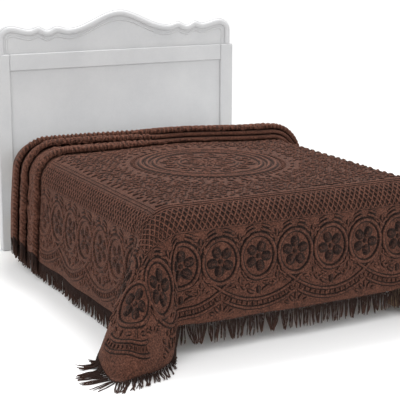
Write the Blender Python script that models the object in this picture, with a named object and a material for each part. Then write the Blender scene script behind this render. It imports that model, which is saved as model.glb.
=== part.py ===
"""A chenille bedspread draped over a plain bed with a scalloped headboard.

Metres, +Z up. The bed stands along Y with its head at +Y, and the origin is on the floor under the
middle of the whole object. The bedspread is one sheet: it lies on the mattress, hangs over both sides
and the foot, stands out at each foot corner as a flute that reaches the floor, and is turned back and
forth in three uneven pleats near the head. Its fringe is one comb sewn along the hem of three edges.
"""

import math

import bmesh
import bpy
import numpy as np

# ---- the bed ----
MATTRESS_WIDTH = 1.52
MATTRESS_LENGTH = 2.03
MATTRESS_EDGE = 0.1235  # the plush rounding of the mattress's upper edge
MATTRESS_RISE = 0.003  # that rounding's centre, above the centre of the sheet's own bend
MATTRESS_CORNER = 0.050  # how much rounder its four corners are, seen from above
MATTRESS_LOWER_EDGE = 0.030
MATTRESS_BOTTOM = 0.400
BASE_TOP = 0.398
BASE_BOTTOM = 0.190
BASE_EDGE = 0.012
BASE_REACH = 0.165  # corner radius of the base, seen from above
RAIL_HEIGHT = 0.050
RAIL_THICK = 0.028
SLAT_WIDTH = 0.090
SLAT_THICK = 0.018
LEG_SIDE = 0.055
FRAME_INSET = 0.045  # from the mattress's sides and foot to the frame's
LEG_PLACES = (("foot", -0.86), ("middle", 0.0), ("head", 0.86))
SLAT_PLACES = (-0.80, -0.27, 0.27, 0.80)
GAP = 0.0003  # between pieces that touch

# ---- the headboard ----
HEADBOARD_THICK = 0.032
HEADBOARD_FRONT = 1.062  # its front face, measured from the middle of the bed
HEADBOARD_BOTTOM = 0.350
POST_WIDTH = 0.085
POST_DEPTH = 0.060
POST_TOP = 1.172
POST_REACH = 0.781  # from the middle of the bed to a post's outer face
POST_PROUD = 0.014  # how far a post stands in front of the headboard
MOULDING_WIDTH = 0.034
MOULDING_THICK = 0.013
MOULDING_INSET = 0.004
LOWER_RAIL_LOW = 1.075
LOWER_RAIL_THICK = 0.012
# One row for each crest and valley of the top edge, from the middle outwards. The edge is level at each.
HEADBOARD_EDGE = (
    # name, distance from the middle, height
    ("crown", 0.000, 1.409),
    ("first valley", 0.325, 1.310),
    ("inner bump", 0.400, 1.325),
    ("middle valley", 0.458, 1.304),
    ("outer bump", 0.514, 1.326),
    ("outer valley", 0.566, 1.312),
    ("shoulder", 0.682, 1.334),
)
HEADBOARD_HALF = 0.766
SHOULDER_ROUND = 0.075  # height of the rounded outer corner

# ---- the bedspread ----
CLOTH = 0.003  # thickness of the sheet, pile included
TOP_Z = 0.680  # middle of the sheet where it lies on the mattress
EDGE_RADIUS = 0.131  # bend over the mattress's edges
FLARE = 0.030  # radians that the hanging sides lean out
HALF_ACROSS = 1.279  # flat, from the middle line to a side hem
FOOT_REACH = 1.496  # flat, from the middle of the bed to the foot hem
HEM_CORNER = 0.060  # radius of the sheet's two foot corners
FLOOR_Z = CLOTH / 2
FLOOR_SOFT = 0.008  # how gradually the sheet turns where it meets the floor
SIDE_SHARE = 0.8  # pleats stand this share as far off the hanging sides as off the top
INNER_X = MATTRESS_WIDTH / 2 - EDGE_RADIUS
INNER_Y = MATTRESS_LENGTH / 2 - EDGE_RADIUS

# The corner's spare cloth stands out as a flute. One row for each section round it: the cloth's flat
# angle from the side edge's line, how far the section leans out, in metres for each metre of fall, and
# the share by which the bias of the weave lets it drop longer.
FLUTE = (
    # degrees, past the side, past the foot, ease
    (-22.0, 0.030, -0.404, 0.0),
    (-4.0, 0.080, -0.165, 0.0),
    (10.0, 0.300, -0.035, 0.02),
    (22.0, 0.450, 0.040, 0.07),
    (34.0, 0.480, 0.170, 0.03),
    (45.0, 0.430, 0.340, 0.0),
    (54.0, 0.330, 0.360, 0.06),
    (64.0, 0.190, 0.270, 0.14),
    (73.0, 0.075, 0.180, 0.14),
    (80.0, 0.035, 0.100, 0.05),
    (88.0, 0.030, 0.030, 0.0),
    (102.0, -0.213, 0.030, 0.0),
)
EASE_OVER = 0.60  # flat distance from the corner at which the ease is whole
FLUTE_BLEND_SIDE = 16.0  # degrees over which the side hands over to the flute
FLUTE_BLEND_FOOT = 9.0

# The pleats, lowest first. Each column holds the value at the left hem, the left of the top, the middle
# and the right. Edges are distances from the middle of the bed towards the head; levels are heights above
# the sheet that lies on the mattress.
PLEATS = (
    # back edge
    # its level
    # front edge
    # its level
    (
        (0.500, 0.530, 0.575, 0.440),
        (0.000, 0.000, 0.000, 0.000),
        (0.390, 0.390, 0.430, 0.285),
        (0.012, 0.012, 0.012, 0.012),
    ),
    (
        (0.645, 0.645, 0.581, 0.446),
        (0.000, 0.000, 0.024, 0.024),
        (0.550, 0.508, 0.440, 0.292),
        (0.030, 0.041, 0.041, 0.041),
    ),
    (
        (0.800, 0.760, 0.587, 0.452),
        (0.000, 0.000, 0.048, 0.048),
        (0.690, 0.624, 0.447, 0.300),
        (0.032, 0.041, 0.070, 0.070),
    ),
)
PLEAT_END = ((0.833, 0.758, 0.592, 0.458), (0.030, 0.027, 0.073, 0.073))
PLEAT_START = 0.200
PLEAT_STATIONS = (-1.15, -0.50, 0.05, 0.62)  # where across the cloth the columns hold
BACK_TURN = 0.006
FRONT_TURN = (0.015, 0.012, 0.009, 0.009)
OVER_LEVEL = 0.025
OVER_BACK = 0.012

# The hanging sheet's gentle waves: one row for each, as outward reach at the hem and length along the edge.
WAVES = (
    # reach, wavelength, phase
    (0.0050, 0.61, 0.4),
    (0.0035, 0.37, 2.1),
)

WAVE_FALL = 0.40  # they grow to full reach over this distance

# Grid of the sheet: spacing of its lines in each stretch.
DROP_STEPS = 8
BEND_STEPS = 4
TOP_STEPS_ACROSS = 6
TOP_STEPS_ALONG = 5
TURN_STEPS = 3
RUN_STEPS = 2

# ---- the fringe ----
FRINGE_LENGTH = 0.098
FRINGE_HEADER = 0.010
FRINGE_PITCH = 0.072  # the widest that a tooth or the gap beside it may be
FRINGE_GAP = 0.0032
FRINGE_LIFT = 0.0008  # how far the fringe lies clear of the floor
FRINGE_LIFT_BELOW = 0.02
FRINGE_THICK = 0.0024
TOOTH_MIDDLE = 0.55  # share of the length at which a tooth bends
TOOTH_TAPER = 0.12  # drawn in by this share of its width at each row of points


# ------------------------------------------------------------------ helpers
def smooth(t):
    t = np.clip(t, 0.0, 1.0)
    return t * t * (3.0 - 2.0 * t)


def through(rows_x, rows_y, x):
    """A cubic curve through the rows, with slopes from their neighbours."""
    rows_x = np.asarray(rows_x, float)
    rows_y = np.asarray(rows_y, float)
    slope = np.gradient(rows_y, rows_x)
    i = np.clip(np.searchsorted(rows_x, x, side="right") - 1, 0, len(rows_x) - 2)
    span = rows_x[i + 1] - rows_x[i]
    t = np.clip((x - rows_x[i]) / span, 0.0, 1.0)
    start = (1 + 2 * t) * (1 - t) ** 2 * rows_y[i] + t * (1 - t) ** 2 * span * slope[i]
    end = t * t * (3 - 2 * t) * rows_y[i + 1] + t * t * (t - 1) * span * slope[i + 1]
    return start + end


def unit(vectors):
    length = np.linalg.norm(vectors, axis=-1, keepdims=True)
    return vectors / np.maximum(length, 1e-12)


def material(name, colour, roughness, metallic=0.0):
    made = bpy.data.materials.new(name)
    made.use_nodes = True
    shader = made.node_tree.nodes["Principled BSDF"]
    shader.inputs["Base Color"].default_value = (*colour, 1.0)
    shader.inputs["Roughness"].default_value = roughness
    shader.inputs["Metallic"].default_value = metallic
    made.diffuse_color = (*colour, 1.0)
    return made


def add_object(name, mesh, finish, sharp_degrees=35.0):
    mesh.materials.append(finish)
    mesh.shade_smooth()
    mesh.set_sharp_from_angle(angle=math.radians(sharp_degrees))
    obj = bpy.data.objects.new(name, mesh)
    bpy.context.scene.collection.objects.link(obj)
    return obj


def mesh_from(name, points, faces):
    """A mesh of these points and faces, with its normals turned outwards."""
    mesh = bpy.data.meshes.new(name)
    mesh.from_pydata([tuple(p) for p in points], [], [tuple(f) for f in faces])
    work = bmesh.new()
    work.from_mesh(mesh)
    bmesh.ops.recalc_face_normals(work, faces=work.faces)
    work.to_mesh(mesh)
    work.free()
    return mesh


# ------------------------------------------------------------------ how the sheet hangs
def edge_section(past, level):
    """Outward reach and height (from TOP_Z) of cloth this far past where it starts to bend."""
    reach_radius = EDGE_RADIUS + SIDE_SHARE * level
    full_turn = math.pi / 2 - FLARE
    turn = np.clip(past / reach_radius, 0.0, full_turn)
    hang = np.maximum(past - full_turn * reach_radius, 0.0)
    outward = np.minimum(past, 0.0) + reach_radius * np.sin(turn) + hang * math.sin(FLARE)
    height = (EDGE_RADIUS + level) * np.cos(turn) - EDGE_RADIUS - hang * math.cos(FLARE)
    return outward, height, hang


def wave(along, hang, from_corner):
    """Extra outward reach of the hanging cloth, growing towards the hem and away from the corner."""
    total = np.zeros_like(along)
    for reach, length, phase in WAVES:
        total = total + reach * (1.0 + np.sin(2 * math.pi * along / length + phase))
    return total * smooth(hang / WAVE_FALL) * smooth(from_corner / WAVE_FALL)


def flute_section(past_side, past_foot):
    """Corner cloth: each straight line out of the corner bends over it, then hangs leaning outwards."""
    rho = np.hypot(past_side, past_foot)
    degrees = np.degrees(np.arctan2(past_foot, past_side))
    angles, lean_side, lean_foot, ease = np.array(FLUTE).T
    rho = rho * (1 + through(angles, ease, degrees) * smooth(rho / EASE_OVER))
    lean_x = through(angles, lean_side, degrees)
    lean_y = through(angles, lean_foot, degrees)
    radians = np.radians(degrees)
    level_way = np.stack([np.cos(radians), np.sin(radians), np.zeros_like(radians)], -1)
    fall_way = unit(np.stack([lean_x, lean_y, -np.ones_like(lean_x)], -1))
    cosine = (level_way * fall_way).sum(-1)
    full_turn = np.arccos(np.clip(cosine, -1.0, 1.0))
    inward = unit(fall_way - cosine[..., None] * level_way)
    turn = np.clip(rho / EDGE_RADIUS, 0.0, full_turn)
    hang = np.maximum(rho - EDGE_RADIUS * full_turn, 0.0)
    bend = np.sin(turn)[..., None] * level_way + (1 - np.cos(turn))[..., None] * inward
    return EDGE_RADIUS * bend + hang[..., None] * fall_way, degrees, fall_way


def flute_share(degrees):
    """0 on the plain hanging sides, 1 in the corner's flute."""
    from_side = smooth((degrees - FLUTE[0][0]) / FLUTE_BLEND_SIDE)
    from_foot = smooth((FLUTE[-1][0] - degrees) / FLUTE_BLEND_FOOT)
    return np.where(degrees < 45.0, from_side, from_foot)


def place(across, along, level):
    """Where the middle of the sheet lies: flat distance across, flat distance along, level above the bed."""
    across, along, level = np.broadcast_arrays(across, along, level)
    hand = np.where(across < 0, -1.0, 1.0)
    past_side = np.abs(across) - INNER_X
    past_foot = -along - INNER_Y
    on_top = (past_side <= 0) & (past_foot <= 0)
    side_out, side_z, side_hang = edge_section(past_side, level)
    foot_out, foot_z, foot_hang = edge_section(past_foot, level)
    side_out = side_out + wave(along + 0.3 * hand, side_hang, -past_foot)
    foot_out = foot_out + wave(across, foot_hang, -past_side)
    side = np.stack([side_out, past_foot, side_z], -1)
    foot = np.stack([past_side, foot_out, foot_z], -1)
    flute, degrees, fall_way = flute_section(np.where(on_top, 1.0, past_side), past_foot)
    share = flute_share(degrees)[..., None]
    hanging = np.where((degrees < 45.0)[..., None], side, foot) * (1 - share) + flute * share
    local = np.where(on_top[..., None], np.stack([past_side, past_foot, level], -1), hanging)

    # Cloth that would pass through the floor lies on it instead, running outwards.
    clear = TOP_Z + local[..., 2] - FLOOR_Z
    rounded = np.sqrt(clear * clear + FLOOR_SOFT * FLOOR_SOFT)
    spare = np.where(on_top, 0.0, (rounded - clear) / 2)
    lean = np.linalg.norm(fall_way[..., :2], axis=-1)
    outward = fall_way[..., :2] / np.maximum(lean, 1e-6)[..., None]
    run = spare * (1 - lean) / np.sqrt(np.maximum(1 - lean**2, 1e-6)) * share[..., 0]
    plan = local[..., :2] + run[..., None] * outward
    height = np.where(on_top, TOP_Z + level, FLOOR_Z + (clear + rounded) / 2)
    return np.stack([hand * (INNER_X + plan[..., 0]), -(INNER_Y + plan[..., 1]), height], -1)


# ------------------------------------------------------------------ the pleats' path
def run_between(start, end, steps):
    """Points after start, up to and including end, easing from one level to the other."""
    t = np.arange(1, steps + 1) / steps
    along = start[0] + (end[0] - start[0]) * t
    level = start[1] + (end[1] - start[1]) * smooth(t)
    return list(zip(along, level))


def turn_points(edge, low, radius, facing, steps):
    """A half turn at this edge, from its low side to its high side; facing is 1 for the head."""
    angles = np.linspace(-math.pi / 2, math.pi / 2, steps + 1)
    centre = edge - facing * radius
    return [(centre + facing * radius * math.cos(a), low + radius * (1 + math.sin(a))) for a in angles]


def pleat_path(column):
    """(along, level) of the sheet from PLEAT_START to its head end, at one of the columns."""
    path = [(PLEAT_START, 0.0)]
    for back, back_level, front, front_level in PLEATS:
        start = turn_points(back[column], back_level[column], BACK_TURN, 1, TURN_STEPS)
        path += run_between(path[-1], start[0], RUN_STEPS)
        path += start[1:]
        radius = FRONT_TURN[column]
        fold = turn_points(front[column], front_level[column], radius, -1, TURN_STEPS)
        path += run_between(path[-1], fold[0], RUN_STEPS)
        path += fold[1:]
        over = (back[column] - OVER_BACK, back_level[column] + OVER_LEVEL)
        path += run_between(path[-1], over, RUN_STEPS)
    ends, levels = PLEAT_END
    path += run_between(path[-1], (ends[column], levels[column]), 1)
    return np.array(path)


def pleats_at(across):
    """(along, level) rows for each of these places across the bed."""
    mixed = pleat_path(0)
    for column in range(1, len(PLEAT_STATIONS)):
        before, here = PLEAT_STATIONS[column - 1], PLEAT_STATIONS[column]
        share = smooth((across - before) / (here - before))[:, None, None]
        mixed = mixed * (1 - share) + pleat_path(column) * share
    return mixed


# ------------------------------------------------------------------ the sheet's grid
def stretch(start, end, steps):
    return list(start + (end - start) * np.arange(1, steps + 1) / steps)


def lines_across():
    bend = EDGE_RADIUS * (math.pi / 2 - FLARE)
    half = [0.0] + stretch(0.0, INNER_X, TOP_STEPS_ACROSS // 2)
    half += stretch(INNER_X, INNER_X + bend, BEND_STEPS)
    half += stretch(INNER_X + bend, HALF_ACROSS, DROP_STEPS)
    return np.array([-x for x in reversed(half[1:])] + half)


def lines_along():
    """Flat distances from the foot hem to where the pleats start."""
    bend = EDGE_RADIUS * (math.pi / 2 - FLARE)
    lines = [-FOOT_REACH] + stretch(-FOOT_REACH, -INNER_Y - bend, DROP_STEPS)
    lines += stretch(-INNER_Y - bend, -INNER_Y, BEND_STEPS)
    lines += stretch(-INNER_Y, PLEAT_START, TOP_STEPS_ALONG)
    return np.array(lines)


def round_corner(across, along):
    """Draws the grid in so that the sheet's foot corners are round."""
    hand = np.sign(across)
    a = (np.abs(across) - HALF_ACROSS) / HEM_CORNER + 1
    b = (-along - FOOT_REACH) / HEM_CORNER + 1
    inside = (a > 0) & (b > 0)
    length = np.where(inside, np.hypot(a, b), 1.0)
    share = np.where(inside, np.maximum(a, b) / np.maximum(length, 1e-9), 1.0)
    round_across = hand * (HALF_ACROSS + HEM_CORNER * (a * share - 1))
    round_along = -(FOOT_REACH + HEM_CORNER * (b * share - 1))
    return np.where(inside, round_across, across), np.where(inside, round_along, along)


def sheet_grid():
    """Flat across, along and level for each crossing of the sheet's grid: [line across, line along]."""
    across = lines_across()
    along = lines_along()
    pleats = pleats_at(across)[:, 1:, :]
    flat_across, flat_along = np.meshgrid(across, along, indexing="ij")
    flat_across, flat_along = round_corner(flat_across, flat_along)
    folded_across = np.repeat(across[:, None], pleats.shape[1], axis=1)
    whole_across = np.concatenate([flat_across, folded_across], axis=1)
    whole_along = np.concatenate([flat_along, pleats[:, :, 0]], axis=1)
    level = np.concatenate([np.zeros_like(flat_along), pleats[:, :, 1]], axis=1)
    return whole_across, whole_along, level


def grid_normals(points):
    """Upward-facing unit normals of a grid of points, from the neighbours on each side."""
    by_across = np.gradient(points, axis=0)
    by_along = np.gradient(points, axis=1)
    return unit(np.cross(by_across, by_along))


def bedspread(finish):
    across, along, level = sheet_grid()
    middle = place(across, along, level)
    normals = grid_normals(middle)
    upper = middle + normals * CLOTH / 2
    lower = middle - normals * CLOTH / 2
    columns, rows = across.shape
    points = np.concatenate([upper.reshape(-1, 3), lower.reshape(-1, 3)])
    points[:, 2] = np.maximum(points[:, 2], 0.0)
    under = columns * rows

    def at(i, j):
        return i * rows + j

    faces = []
    for i in range(columns - 1):
        for j in range(rows - 1):
            near, far = at(i, j), at(i + 1, j + 1)
            one, other = at(i + 1, j), at(i, j + 1)
            # The cut across each square runs out of the nearer foot corner, like the flute's sections.
            if i < (columns - 1) // 2:
                cut = ((near, one, far), (near, far, other))
            else:
                cut = ((one, far, other), (one, other, near))
            for corners in cut:
                faces.append(corners)
                faces.append(tuple(under + k for k in reversed(corners)))
    rim = [(i, 0) for i in range(columns)] + [(columns - 1, j) for j in range(1, rows)]
    rim += [(i, rows - 1) for i in range(columns - 2, -1, -1)] + [(0, j) for j in range(rows - 2, 0, -1)]
    for here, there in zip(rim, rim[1:] + rim[:1]):
        a, b = at(*here), at(*there)
        faces.append((b, a, under + a, under + b))
    return add_object("bedspread", mesh_from("bedspread", points, faces), finish)


# ------------------------------------------------------------------ the fringe
def hem_stations():
    """Places along the hem: from the left side's pleats to the foot and round to the right."""
    across, along, level = sheet_grid()
    columns, rows = across.shape
    walk = [(0, j) for j in range(rows - 1, 0, -1)]
    walk += [(i, 0) for i in range(columns)]
    walk += [(columns - 1, j) for j in range(1, rows)]
    corners = np.array([(across[k], along[k], level[k]) for k in walk])
    stations = [corners[0]]
    for here, there in zip(corners, corners[1:]):
        steps = math.ceil(np.linalg.norm(there - here) / FRINGE_PITCH)
        stations += [here + (there - here) * k / steps for k in range(1, steps + 1)]
    return np.array(stations)


def outward_way(stations):
    """Flat outward direction from the hem at each station."""
    a = (np.abs(stations[:, 0]) - HALF_ACROSS) / HEM_CORNER + 1
    b = (-stations[:, 1] - FOOT_REACH) / HEM_CORNER + 1
    way = np.stack([np.maximum(a, 0), np.maximum(b, 0)], -1)
    on_side = b <= 0
    on_foot = a <= 0
    way[on_side] = (1, 0)
    way[on_foot & ~on_side] = (0, 1)
    way = unit(way)
    way[:, 0] *= np.sign(stations[:, 0])
    return way


def fringe_row(stations, way, distance):
    """Middle points this far out from the hem."""
    across = stations[:, 0] + way[:, 0] * distance
    along = stations[:, 1] - way[:, 1] * distance
    row = place(across, along, stations[:, 2])
    on_floor = 1.0 - smooth((row[:, 2] - FLOOR_Z) / FRINGE_LIFT_BELOW)
    row[:, 2] += FRINGE_LIFT * on_floor * min(1.0, distance / FRINGE_HEADER)
    return row


def fringe(finish):
    stations = hem_stations()
    way = outward_way(stations)
    distances = (FRINGE_GAP, FRINGE_HEADER, TOOTH_MIDDLE * FRINGE_LENGTH, FRINGE_LENGTH)
    middle = np.stack([fringe_row(stations, way, d) for d in distances], axis=1)
    normals = -grid_normals(middle)
    count, depth = middle.shape[:2]
    points = []
    faces = []

    def ring(k, d, narrow, toward):
        """Front and back points at a station, drawn towards its neighbour by the share narrow."""
        spot = middle[k, d] * (1 - narrow) + middle[toward, d] * narrow
        way_out = normals[k, d]
        points.append(spot + way_out * FRINGE_THICK / 2)
        points.append(spot - way_out * FRINGE_THICK / 2)
        return len(points) - 2

    header = [(ring(k, 0, 0.0, k), ring(k, 1, 0.0, k)) for k in range(count)]
    for k in range(count - 1):
        (a0, a1), (b0, b1) = header[k], header[k + 1]
        faces.append((a0, b0, b1, a1))
        faces.append((a0 + 1, a1 + 1, b1 + 1, b0 + 1))
        faces.append((a0, a0 + 1, b0 + 1, b0))
        if k % 2:
            faces.append((a1, b1, b1 + 1, a1 + 1))
            continue
        left, right = a1, b1
        for d in range(2, depth):
            narrow = TOOTH_TAPER * (d - 1)
            new_left = ring(k, d, narrow, k + 1)
            new_right = ring(k + 1, d, narrow, k)
            faces.append((left, right, new_right, new_left))
            faces.append((left + 1, new_left + 1, new_right + 1, right + 1))
            faces.append((left, new_left, new_left + 1, left + 1))
            faces.append((right, right + 1, new_right + 1, new_right))
            left, right = new_left, new_right
        faces.append((left, right, right + 1, left + 1))
    for a0, a1 in (header[0], header[-1]):
        faces.append((a0, a1, a1 + 1, a0 + 1))
    points = np.array(points)
    points[:, 2] = np.maximum(points[:, 2], FRINGE_LIFT / 2)
    return add_object("bedspread_fringe", mesh_from("bedspread_fringe", points, faces), finish)


# ------------------------------------------------------------------ the bed
def rounded_plan(inner_x, inner_y, radius, steps=6):
    """A rectangle's outline grown by this radius, as one ring of points."""
    ring = []
    for quarter, (sx, sy) in enumerate(((1, 1), (-1, 1), (-1, -1), (1, -1))):
        for k in range(steps + 1):
            angle = math.pi / 2 * (quarter + k / steps)
            ring.append((sx * inner_x + radius * math.cos(angle), sy * inner_y + radius * math.sin(angle)))
    return ring


def stacked_rings(name, levels, finish):
    """A solid through level rings of equal count, closed by a flat face at each end."""
    points = []
    for height, ring in levels:
        points += [(x, y, height) for x, y in ring]
    count = len(levels[0][1])
    faces = [tuple(reversed(range(count)))]
    for level in range(len(levels) - 1):
        base = level * count
        for k in range(count):
            after = (k + 1) % count
            faces.append((base + k, base + after, base + count + after, base + count + k))
    faces.append(tuple(range((len(levels) - 1) * count, len(levels) * count)))
    return add_object(name, mesh_from(name, points, faces), finish)


def mattress(finish):
    centre_z = TOP_Z - EDGE_RADIUS + MATTRESS_RISE
    plan_x, plan_y = INNER_X - MATTRESS_CORNER, INNER_Y - MATTRESS_CORNER
    levels = []
    for k in range(3):
        angle = math.pi / 2 * k / 2
        radius = MATTRESS_EDGE - MATTRESS_LOWER_EDGE * (1 - math.sin(angle))
        height = MATTRESS_BOTTOM + MATTRESS_LOWER_EDGE * (1 - math.cos(angle))
        levels.append((height, rounded_plan(plan_x, plan_y, radius + MATTRESS_CORNER)))
    for k in range(7):
        angle = math.pi / 2 * k / 6
        radius = MATTRESS_EDGE * math.cos(angle)
        height = centre_z + MATTRESS_EDGE * math.sin(angle)
        levels.append((height, rounded_plan(plan_x, plan_y, radius + MATTRESS_CORNER)))
    return stacked_rings("mattress", levels, finish)


def bed_base(finish):
    levels = []
    for height, inset in (
        (BASE_BOTTOM, BASE_EDGE),
        (BASE_BOTTOM + BASE_EDGE, 0.0),
        (BASE_TOP - BASE_EDGE, 0.0),
        (BASE_TOP, BASE_EDGE),
    ):
        plan_x, plan_y = INNER_X - MATTRESS_CORNER, INNER_Y - MATTRESS_CORNER
        levels.append((height, rounded_plan(plan_x, plan_y, BASE_REACH - inset)))
    return stacked_rings("bed_base", levels, finish)


def box(name, low, high, finish, bevel=0.003):
    work = bmesh.new()
    bmesh.ops.create_cube(work, size=1.0)
    low, high = np.array(low, float), np.array(high, float)
    for vertex in work.verts:
        share = np.array(vertex.co) + 0.5
        vertex.co = tuple(low + (high - low) * share)
    if bevel:
        bmesh.ops.bevel(work, geom=list(work.edges), offset=bevel, segments=1, affect="EDGES")
    mesh = bpy.data.meshes.new(name)
    work.to_mesh(mesh)
    work.free()
    return add_object(name, mesh, finish)


def bed_frame(finish):
    """Rails from the foot to the headboard's posts, slats across them, and legs down to the floor."""
    rail_top = BASE_BOTTOM - SLAT_THICK - 2 * GAP
    rail_low = rail_top - RAIL_HEIGHT
    half_x = MATTRESS_WIDTH / 2 - FRAME_INSET
    foot_end = -MATTRESS_LENGTH / 2 + FRAME_INSET
    head_end = HEADBOARD_FRONT - POST_PROUD - GAP
    for side, hand in (("left", -1), ("right", 1)):
        inner, outer = sorted((hand * half_x, hand * (half_x - RAIL_THICK)))
        box(f"frame_rail_{side}", (inner, foot_end, rail_low), (outer, head_end, rail_top), finish)
    for number, where in enumerate(SLAT_PLACES, 1):
        low = (-half_x, where - SLAT_WIDTH / 2, rail_top + GAP)
        high = (half_x, where + SLAT_WIDTH / 2, BASE_BOTTOM - GAP)
        box(f"frame_slat_{number}", low, high, finish)
    leg_top = rail_low - GAP
    for side, hand in (("left", -1), ("right", 1)):
        centre_x = hand * (half_x - LEG_SIDE / 2)
        for end, centre_y in LEG_PLACES:
            low = (centre_x - LEG_SIDE / 2, centre_y - LEG_SIDE / 2, 0.0)
            high = (centre_x + LEG_SIDE / 2, centre_y + LEG_SIDE / 2, leg_top)
            box(f"frame_leg_{end}_{side}", low, high, finish)


def headboard_edge(steps=5):
    """The right half of the top edge, from the crown round the shoulder and down to the post."""
    edge = []
    for (_, x0, z0), (_, x1, z1) in zip(HEADBOARD_EDGE, HEADBOARD_EDGE[1:]):
        count = steps * 2 if x1 - x0 > 0.2 else steps
        for k in range(count):
            t = k / count
            edge.append((x0 + (x1 - x0) * t, z0 + (z1 - z0) * float(smooth(t))))
    _, x, z = HEADBOARD_EDGE[-1]
    for k in range(7):
        angle = math.pi / 2 * k / 6
        across = x + (HEADBOARD_HALF - x) * math.sin(angle)
        edge.append((across, z - SHOULDER_ROUND * (1 - math.cos(angle))))
    edge.append((HEADBOARD_HALF, POST_TOP + GAP))
    return edge


def mirrored(edge):
    """The whole edge, left to right."""
    return [(-x, z) for x, z in reversed(edge[1:])] + list(edge)


def headboard_panel(finish):
    outline = mirrored(headboard_edge())
    inner = POST_REACH - POST_WIDTH - GAP
    outline += [(inner, POST_TOP + GAP), (inner, HEADBOARD_BOTTOM)]
    outline += [(-inner, HEADBOARD_BOTTOM), (-inner, POST_TOP + GAP)]
    count = len(outline)
    back = HEADBOARD_FRONT + HEADBOARD_THICK
    points = [(x, HEADBOARD_FRONT, z) for x, z in outline] + [(x, back, z) for x, z in outline]
    work = bmesh.new()
    verts = [work.verts.new(p) for p in points]
    work.faces.new(verts[:count])
    work.faces.new(list(reversed(verts[count:])))
    for k in range(count):
        after = (k + 1) % count
        work.faces.new((verts[k], verts[k + count], verts[after + count], verts[after]))
    bmesh.ops.recalc_face_normals(work, faces=work.faces)
    bmesh.ops.triangulate(work, faces=[f for f in work.faces if len(f.verts) > 4])
    mesh = bpy.data.meshes.new("headboard_panel")
    work.to_mesh(mesh)
    work.free()
    return add_object("headboard_panel", mesh, finish)


def headboard_moulding(finish):
    """A rounded bead on the front face, following the top edge."""
    edge = np.array(mirrored(headboard_edge()))
    along = unit(np.gradient(edge, axis=0))
    inward = np.stack([along[:, 1], -along[:, 0]], -1)
    profile = []
    for k in range(6):
        angle = math.pi * k / 5
        depth = MOULDING_INSET + MOULDING_WIDTH * (0.5 - 0.5 * math.cos(angle))
        profile.append((depth, MOULDING_THICK * (0.35 + 0.65 * math.sin(angle))))
    profile = [(MOULDING_INSET, 0.0)] + profile + [(MOULDING_INSET + MOULDING_WIDTH, 0.0)]
    points = []
    for spot, way in zip(edge, inward):
        for depth, proud in profile:
            x, z = spot + way * depth
            points.append((x, HEADBOARD_FRONT - GAP - proud, z))
    ring = len(profile)
    faces = [tuple(range(ring)), tuple(reversed(range(len(points) - ring, len(points))))]
    for k in range(len(edge) - 1):
        for side in range(ring):
            after = (side + 1) % ring
            a = k * ring
            faces.append((a + side, a + after, a + ring + after, a + ring + side))
    return add_object("headboard_moulding", mesh_from("headboard_moulding", points, faces), finish)


def headboard(finish):
    headboard_panel(finish)
    headboard_moulding(finish)
    rail_half = POST_REACH - POST_WIDTH - 2 * GAP
    low = (-rail_half, HEADBOARD_FRONT - GAP - LOWER_RAIL_THICK, LOWER_RAIL_LOW)
    high = (rail_half, HEADBOARD_FRONT - GAP, POST_TOP)
    box("headboard_rail", low, high, finish, bevel=0.004)
    for side, hand in (("left", -1), ("right", 1)):
        inner, outer = sorted((hand * (POST_REACH - POST_WIDTH), hand * POST_REACH))
        low = (inner, HEADBOARD_FRONT - POST_PROUD, 0.0)
        high = (outer, HEADBOARD_FRONT - POST_PROUD + POST_DEPTH, POST_TOP)
        box(f"headboard_post_{side}", low, high, finish, bevel=0.005)


def centre_on_floor():
    """Moves the whole object so that the origin is under the middle of its box."""
    low = np.full(3, np.inf)
    high = np.full(3, -np.inf)
    meshes = [obj.data for obj in bpy.data.objects if obj.type == "MESH"]
    for mesh in meshes:
        for vertex in mesh.vertices:
            low = np.minimum(low, vertex.co)
            high = np.maximum(high, vertex.co)
    shift = -(low + high) / 2
    shift[2] = 0.0
    for mesh in meshes:
        for vertex in mesh.vertices:
            vertex.co = tuple(np.array(vertex.co) + shift)


def main():
    for obj in list(bpy.data.objects):
        bpy.data.objects.remove(obj, do_unlink=True)
    chenille = material("brown chenille", (0.130, 0.060, 0.045), 0.95)
    yarn = material("brown fringe yarn", (0.085, 0.040, 0.030), 0.90)
    ticking = material("white cotton", (0.80, 0.79, 0.77), 0.85)
    canvas = material("ivory canvas", (0.66, 0.62, 0.56), 0.90)
    timber = material("pale timber", (0.55, 0.42, 0.28), 0.60)
    paint = material("pale grey paint", (0.62, 0.63, 0.65), 0.45)
    bedspread(chenille)
    fringe(yarn)
    mattress(ticking)
    bed_base(canvas)
    bed_frame(timber)
    headboard(paint)
    centre_on_floor()


main()
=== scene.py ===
import math

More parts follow.
